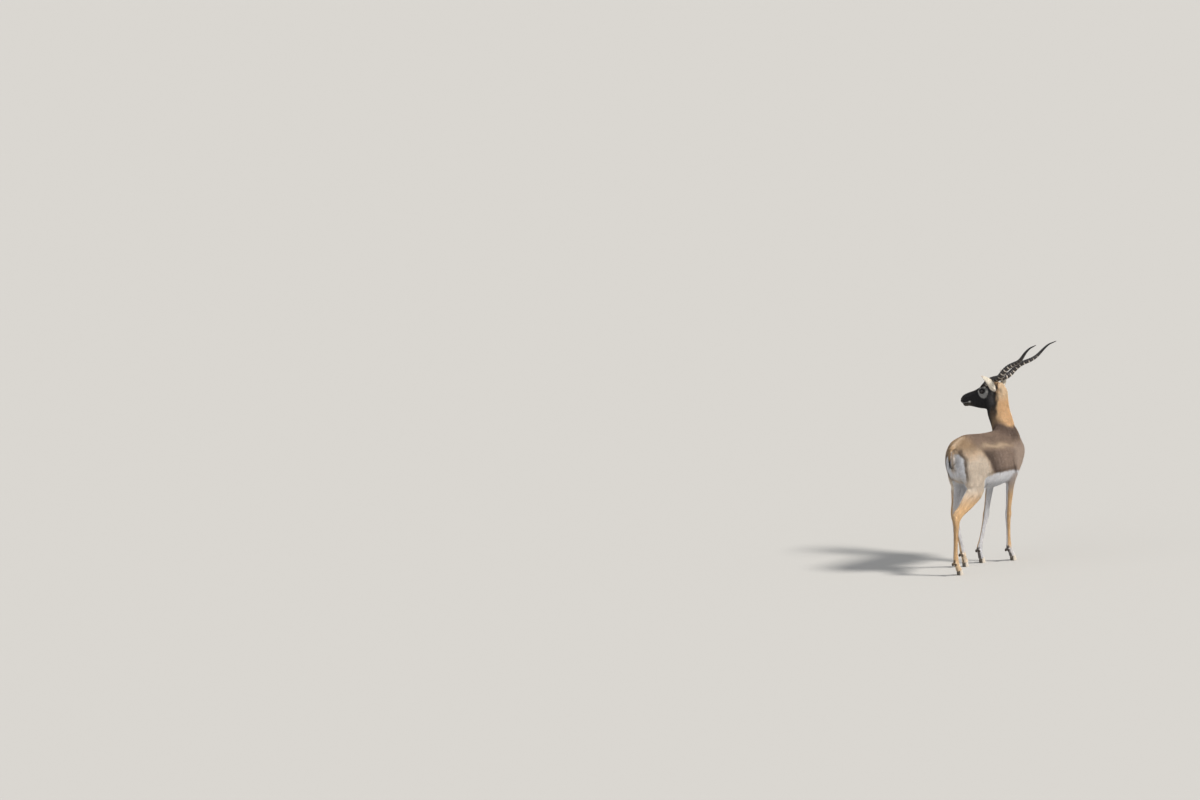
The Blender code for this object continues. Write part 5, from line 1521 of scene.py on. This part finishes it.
def makeEar(side, name):
    rows, columns = earLook["rows"], earLook["columns"]
    outer, t, j = earWall(side, rows, columns, False)
    inner = earWall(side, rows, columns, True)[0]
    loop = np.concatenate([outer, inner[:, ::-1]], axis=1)
    points, tris = closedTube(loop)
    up = np.repeat(t.clip(0, 1)[:, None], columns, axis=1)
    rim = np.repeat((np.abs(j) ** 5)[None], rows, axis=0)
    shadesOut = np.tile(earLook["outside"], (rows * columns, 1))
    # painted shade: the outside greyer toward the root
    shadesOut = over(shadesOut, earLook["root"], ramp(0.22 - up.ravel(), 0, 0.2) * 0.8)
    shadesOut = over(shadesOut, earLook["tip"], ramp(up.ravel(), 0.84, 0.98) * 0.55)
    shadesOut = over(shadesOut, earLook["edge"], 0.55 * rim.ravel() * ramp(up.ravel(), 0.1, 0.3))
    shadesIn = np.tile(earLook["inside"], (rows * columns, 1))
    # painted shade: the inside darker toward the root, and darker along its rims
    shadesIn = over(shadesIn, earLook["edge"], 0.75 * ramp(0.35 - up.ravel(), 0, 0.3) + 0.35 * rim.ravel())
    walls = [shadesOut.reshape(rows, columns, 3), shadesIn.reshape(rows, columns, 3)[:, ::-1]]
    piece = turnedOut(newPiece(name, fromHead(points), tris, cappedShades(np.concatenate(walls, axis=1))))
    piece.data.materials.append(hairlessFinish)
    growEarHair(side, outer, inner, t, name + "Hair")
    return piece


def growEarHair(side, outer, inner, t, name):
    rng = np.random.default_rng(earLook["seed"] + side)
    rows, columns = outer.shape[:2]
    sets = []
    # outside: short fur toward the tip; inside: longer hair from both edges and the hollow
    for wall, count, inward in ((outer, earLook["furTufts"], False), (inner, earLook["hairTufts"], True)):
        i = rng.uniform(0.06, 0.955, count) * (rows - 1)
        j = rng.uniform(0.02, 0.98, count) * (columns - 1)
        if inward:
            edge = rng.random(count) < 0.7
            j[edge] = np.where(rng.random(edge.sum()) < 0.5, rng.uniform(0.0, 0.16, edge.sum()),
                               rng.uniform(0.84, 1.0, edge.sum())) * (columns - 1)
        i0, j0 = np.minimum(i.astype(int), rows - 2), np.minimum(j.astype(int), columns - 2)
        fi, fj = (i - i0)[:, None], (j - j0)[:, None]
        spot = (wall[i0, j0] * (1 - fi) * (1 - fj) + wall[i0 + 1, j0] * fi * (1 - fj)
                + wall[i0, j0 + 1] * (1 - fi) * fj + wall[i0 + 1, j0 + 1] * fi * fj)
        up = units(wall[i0 + 1, j0] - wall[i0, j0])
        crosswise = units(wall[i0, j0 + 1] - wall[i0, j0])
        normal = units(np.cross(up, crosswise))
        away = outer[i0, j0] - inner[i0, j0]
        normal *= np.sign((normal * away).sum(axis=1))[:, None] * (-1 if inward else 1)
        high = np.interp(i, np.arange(rows), t)
        if inward:
            way = units(up * 0.8 + normal * 0.35 - crosswise * (np.sign(j / columns - 0.5) * 0.55)[:, None]
                        + 0.2 * rng.normal(size=(count, 3)))
            length = rng.uniform(*earLook["hairLength"], count) * (1 - 0.45 * high)
            lift = rng.uniform(*earLook["hairLift"], count)
            width = rng.uniform(*earLook["hairWidth"], count)
            shade = np.tile(earLook["insideHair"], (count, 1))
            # painted shade: the inside hair greyer toward the root
            shade = over(shade, earLook["root"], 0.6 * ramp(0.3 - high, 0, 0.3))
        else:
            way = units(up + 0.12 * rng.normal(size=(count, 3)))
            length = rng.uniform(*earLook["furLength"], count) * (1 - 0.4 * ramp(high, 0.8, 1))
            lift = rng.uniform(*earLook["furLift"], count)
            width = rng.uniform(*earLook["furWidth"], count)
            edgeward = np.abs(2 * j / (columns - 1) - 1) ** 6
            shade = np.tile(earLook["outside"], (count, 1))
            # painted shade: the outside fur greyer toward the root
            shade = over(shade, earLook["root"], 0.8 * ramp(0.22 - high, 0, 0.2))
            shade = over(shade, earLook["tip"], 0.5 * ramp(high, 0.86, 0.99))
            shade = over(shade, earLook["edge"], 0.7 * edgeward * ramp(high, 0.1, 0.3))
        way = units(way - normal * (way * normal).sum(axis=1)[:, None] * (0 if inward else 1))
        points, faces = tuftShapes(spot, way, normal, length, width, lift, width * 0.2)
        sets.append((points, faces, tuftColours(shade, rng, 1.06, 0.88, 0.06),
                     tuftMap(j / columns * 0.48 + (0.5 if inward else 0.0), high)))
    points, shades, places = (np.vstack([made[k] for made in sets]) for k in (0, 2, 3))
    faces = np.vstack([sets[0][1], sets[1][1] + len(sets[0][0])])
    piece = newPiece(name, fromHead(points), faces, shades, uv=places)
    piece.data.materials.append(hairFinish)


hairlessFinish = finish("earSkin", 0.60, 0.10, 300, 0.4, 1100, 0.35)
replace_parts(makeEar(1, "earLeft"), "ear_left")
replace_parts(makeEar(-1, "earRight"), "ear_right")
print("ears done")

# the eyes: dark brown iris, level pupil and a wet surface

eyeLook = {
    "around": 80,
    "levels": 56,
    "bulge": 0.0011,
    "pupilWide": 0.0058,
    "pupilTall": 0.0030,
    "iris": 0.0098,
    "ball": paint(26, 19, 15),
    "irisPaint": paint(40, 25, 16),
    "irisRim": paint(12, 8, 6),
    "pupil": paint(3, 3, 4),
    "lash": paint(18, 15, 14),
    "lashLength": (0.005, 0.0085),
    "lashWidth": 0.00045,
    "lashesEach": 3,        # at each place along the lid
    "seed": 90,
}


def eyeFinish():
    material, shader, _ = paintedMaterial("wetEye", 0.3, 900, (0.0, 1.0), 2)
    shader.inputs["Roughness"].default_value = 0.10
    shader.inputs["Coat Weight"].default_value = 0.35
    shader.inputs["Coat Roughness"].default_value = 0.02
    shader.inputs["Specular IOR Level"].default_value = 0.35
    return material


def makeEye(side, name):
    around = eyeLook["around"]
    polar = np.linspace(0.0, math.pi, eyeLook["levels"]) ** 1.15 / math.pi ** 0.15
    angle = 2 * math.pi * np.arange(around) / around
    rings = []
    for a in polar:
        radius = headShape["eyeRadius"] + eyeLook["bulge"] * math.exp(-(a / 0.62) ** 4) - 0.0004
        wide, deep = radius * math.sin(a), radius * math.cos(a)
        rings.append(np.column_stack([wide * np.cos(angle), np.full(around, deep), wide * np.sin(angle)]))
    points, tris = closedTube(rings)
    x, z = points[:, 0], points[:, 2]
    away = np.hypot(x, z)
    front = points[:, 1] > 0
    streak = 0.5 + 0.5 * np.sin(np.arctan2(z, x) * 40 + 3 * np.sin(np.arctan2(z, x) * 7))
    shades = np.tile(eyeLook["ball"], (len(points), 1))
    iris = ramp(eyeLook["iris"] - away, 0.0, 0.0008) * front
    shades = over(shades, eyeLook["irisPaint"], iris * (0.6 + 0.4 * streak))
    shades = over(shades, eyeLook["irisRim"], iris * ramp(away, eyeLook["iris"] - 0.0018, eyeLook["iris"]))
    pupil = np.sqrt((x / eyeLook["pupilWide"]) ** 2 + (z / eyeLook["pupilTall"]) ** 2)
    shades = over(shades, eyeLook["pupil"], ramp(1.06 - pupil, 0, 0.12) * front)
    points = (points + np.array(headShape["eyeAt"])) * (1, side, 1)
    piece = turnedOut(newPiece(name, fromHead(points), tris, shades))
    piece.data.materials.append(wetEye)
    return piece


def growLashes(side, name):
    rng = np.random.default_rng(eyeLook["seed"] + side)
    line = lidLine(side, 1.10, 0.0022, 61)
    spots = np.array([spot for turn, spot in line if 0.25 < turn < 2.9])
    count = len(spots) * eyeLook["lashesEach"]
    roots = spots[rng.integers(0, len(spots), count)] + 0.0004 * rng.normal(size=(count, 3))
    eye = np.array(headShape["eyeAt"]) * (1, side, 1)
    normals = np.tile([0.0, 0.0, 1.0], (count, 1))
    ways = units(units(roots - eye) * [0.7, 0.5, 0.2] + np.array([0.0, side * 0.9, -0.25])
                 + 0.10 * rng.normal(size=(count, 3)))
    normals = units(normals - ways * (normals * ways).sum(axis=1)[:, None])
    length = rng.uniform(*eyeLook["lashLength"], count)
    width = np.full(count, eyeLook["lashWidth"])
    points, faces = tuftShapes(roots, ways, normals, length, width, np.full(count, 0.0016), width * 0.5)
    shade = np.tile(eyeLook["lash"], (count, 1))
    piece = newPiece(name, fromHead(points), faces, tuftColours(shade, rng),
                     uv=tuftMap(rng.random(count), rng.random(count)))
    piece.data.materials.append(hairFinish)


wetEye = eyeFinish()
for side, word in ((1, "Left"), (-1, "Right")):
    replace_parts(makeEye(side, "eye" + word), "eye_" + word.lower())
    growLashes(side, "lashes" + word)
print("eyes done")

# the hooves: narrow pointed claws with growth lines

claw = {
    "length": 0.047,
    "width": 0.0148,
    "split": 0.0016,
    "rows": 30,
    "around": 72,
    "wall": paint(192, 182, 168),
    "rim": paint(212, 204, 192),
    "heel": paint(44, 37, 32),
}


def makeClaw(foot, word):
    key, sole = soles[foot]
    side = 1 if word == "left" else -1
    point, normal = footPlane(legs[key])
    rows, around = claw["rows"], claw["around"]
    a = 2 * math.pi * np.arange(around) / around
    rings, shades = [], []
    for level in range(rows):
        rise = level / (rows - 1)
        low = np.exp(-rise * rows / 1.2) * 0.035              # the worn lower edge
        x = np.cos(a) * claw["length"] / 2
        y = np.sin(a) * claw["width"] / 2 * (1 - 0.42 * np.maximum(np.cos(a), 0) ** 2)
        y = np.where(y * side < 0, y * 0.86, y)
        x = x * (1 - 0.36 * rise) * (1 - low) - 0.0110 * rise
        hollow = np.sin(math.pi * rise)
        x = x - 0.0012 * hollow * np.maximum(np.cos(a), 0) + 0.0010 * hollow * np.minimum(np.cos(a), 0)
        y = y * (1 - 0.04 * rise) * (1 - low * 1.5) + side * (claw["split"] / 2 + claw["width"] / 2 * 0.90)
        ripple = 1 + 0.006 * np.sin(rise * 46 + 0.8 * np.cos(a))
        at = np.column_stack([sole[0] + x * ripple, sole[1] + y, np.zeros(around)])
        top = (point - at) @ normal / normal[2]
        at[:, 2] = (top + 0.0008) * rise
        rings.append(at)
        line = 0.5 + 0.5 * np.sin(rise * 30 + 1.2 * np.cos(a) + 0.5 * np.sin(3 * a))
        ends = 0.75 * ramp(rise, 0.90, 1.0) + 0.35 * ramp(0.10 - rise, 0, 0.1)
        shade = np.tile(claw["wall"], (around, 1))
        shade = over(shade, claw["rim"], 0.30 * line * ramp(np.cos(a), -0.3, 0.6))
        shade = over(shade, claw["rim"], np.full(around, ends))
        shades.append(over(shade, claw["heel"], ramp(-np.cos(a), 0.55, 0.95) * 0.85))
    points, tris = closedTube(rings)
    name = "".join(part.capitalize() for part in (foot + "_" + word).split("_"))
    piece = turnedOut(newPiece("hoof" + name, points, tris, cappedShades(shades)))
    piece.data.materials.append(hoofFinish)
    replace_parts(piece, foot + "_claw_" + word)


hoofFinish = finish("wornHoof", 0.48, 0.20, 240, 0.45, 900, 0.45, fine=2400)
for foot in soles:
    for word in ("left", "right"):
        makeClaw(foot, word)
print("hooves done")

# floor, light and camera

stage = {
    "floorSize": 600.0,
    "floor": paint(174, 172, 168),
    "sky": (0.86, 0.88, 0.92),
    "skyStrength": 0.55,
    "distance": 115.0,         # of the camera from the right hind foot
    "heading": 32.0,           # the way it looks, from the body's forward line, in degrees
    "height": 10.0,            # how steeply it looks down, in degrees
    "acrossView": 7.143,       # metres that the picture's width covers at the animal
    "footInPicture": (959.5, 575.0),
    "picture": (1200, 800),
    "sensor": 36.0,
    "suns": [
        # name, heading, height, strength, angle across and colour
        ("key", -66, 46, 4.5, 12, (1.0, 0.965, 0.915)),
        ("fill", 165, 30, 0.8, 50, (0.90, 0.95, 1.0)),
    ],
}


def lookWay(turn, tilt):
    return np.array([math.cos(turn) * math.cos(tilt), math.sin(turn) * math.cos(tilt), -math.sin(tilt)])


def addSun(name, heading, height, strength, angle, colour):
    lamp = bpy.data.lights.new(name, "SUN")
    lamp.energy = strength
    lamp.angle = math.radians(angle)
    lamp.color = colour
    item = bpy.data.objects.new(name, lamp)
    ahead = lookWay(math.radians(heading), math.radians(height)) * (-1, -1, 1)
    item.rotation_euler = Vector(ahead).to_track_quat("-Z", "Y").to_euler()
    bpy.context.scene.collection.objects.link(item)


def dressStage():
    half = stage["floorSize"] / 2
    mesh = bpy.data.meshes.new("floor")
    spots = [(x * half, y * half, 0) for x, y in ((-1, -1), (1, -1), (1, 1), (-1, 1))]
    mesh.from_pydata(spots, [], [(0, 1, 2, 3)])
    floor = bpy.data.objects.new("floor", mesh)
    bpy.context.scene.collection.objects.link(floor)
    material = bpy.data.materials.new("paleFloor")
    material.use_nodes = True
    shader = material.node_tree.nodes["Principled BSDF"]
    shader.inputs["Base Color"].default_value = (*stage["floor"], 1)
    shader.inputs["Roughness"].default_value = 0.9
    mesh.materials.append(material)
    world = bpy.data.worlds.new("studio")
    world.use_nodes = True
    world.node_tree.nodes["Background"].inputs["Color"].default_value = (*stage["sky"], 1)
    world.node_tree.nodes["Background"].inputs["Strength"].default_value = stage["skyStrength"]
    bpy.context.scene.world = world
    for sun in stage["suns"]:
        addSun(*sun)


def placeCamera():
    foot = np.array([0.0, -0.060, 0.0]) + shift
    turn, tilt = math.radians(stage["heading"]), math.radians(stage["height"])
    place = foot - lookWay(turn, tilt) * stage["distance"]
    sensor, (across, down) = stage["sensor"], stage["picture"]
    lens = sensor * stage["distance"] / stage["acrossView"]
    # turned a little at a time until the foot stands at its place in the picture
    for _ in range(8):
        ahead = lookWay(turn, tilt)
        right = np.array([math.sin(turn), -math.cos(turn), 0.0])
        up = np.cross(right, ahead)
        offset = foot - place
        x = across / 2 + (offset @ right) / (offset @ ahead) * lens / sensor * across
        y = down / 2 - (offset @ up) / (offset @ ahead) * lens / sensor * across
        turn += (stage["footInPicture"][0] - x) / across * sensor / lens
        tilt -= (stage["footInPicture"][1] - y) / across * sensor / lens
    data = bpy.data.cameras.new("camera")
    data.sensor_width = sensor
    data.lens = lens
    data.clip_end = 600
    camera = bpy.data.objects.new("camera", data)
    camera.location = place
    camera.rotation_euler = Vector(ahead).to_track_quat("-Z", "Y").to_euler()
    bpy.context.scene.collection.objects.link(camera)
    bpy.context.scene.camera = camera


dressStage()
placeCamera()
bpy.context.scene.view_settings.view_transform = "Standard"
print("stage done")
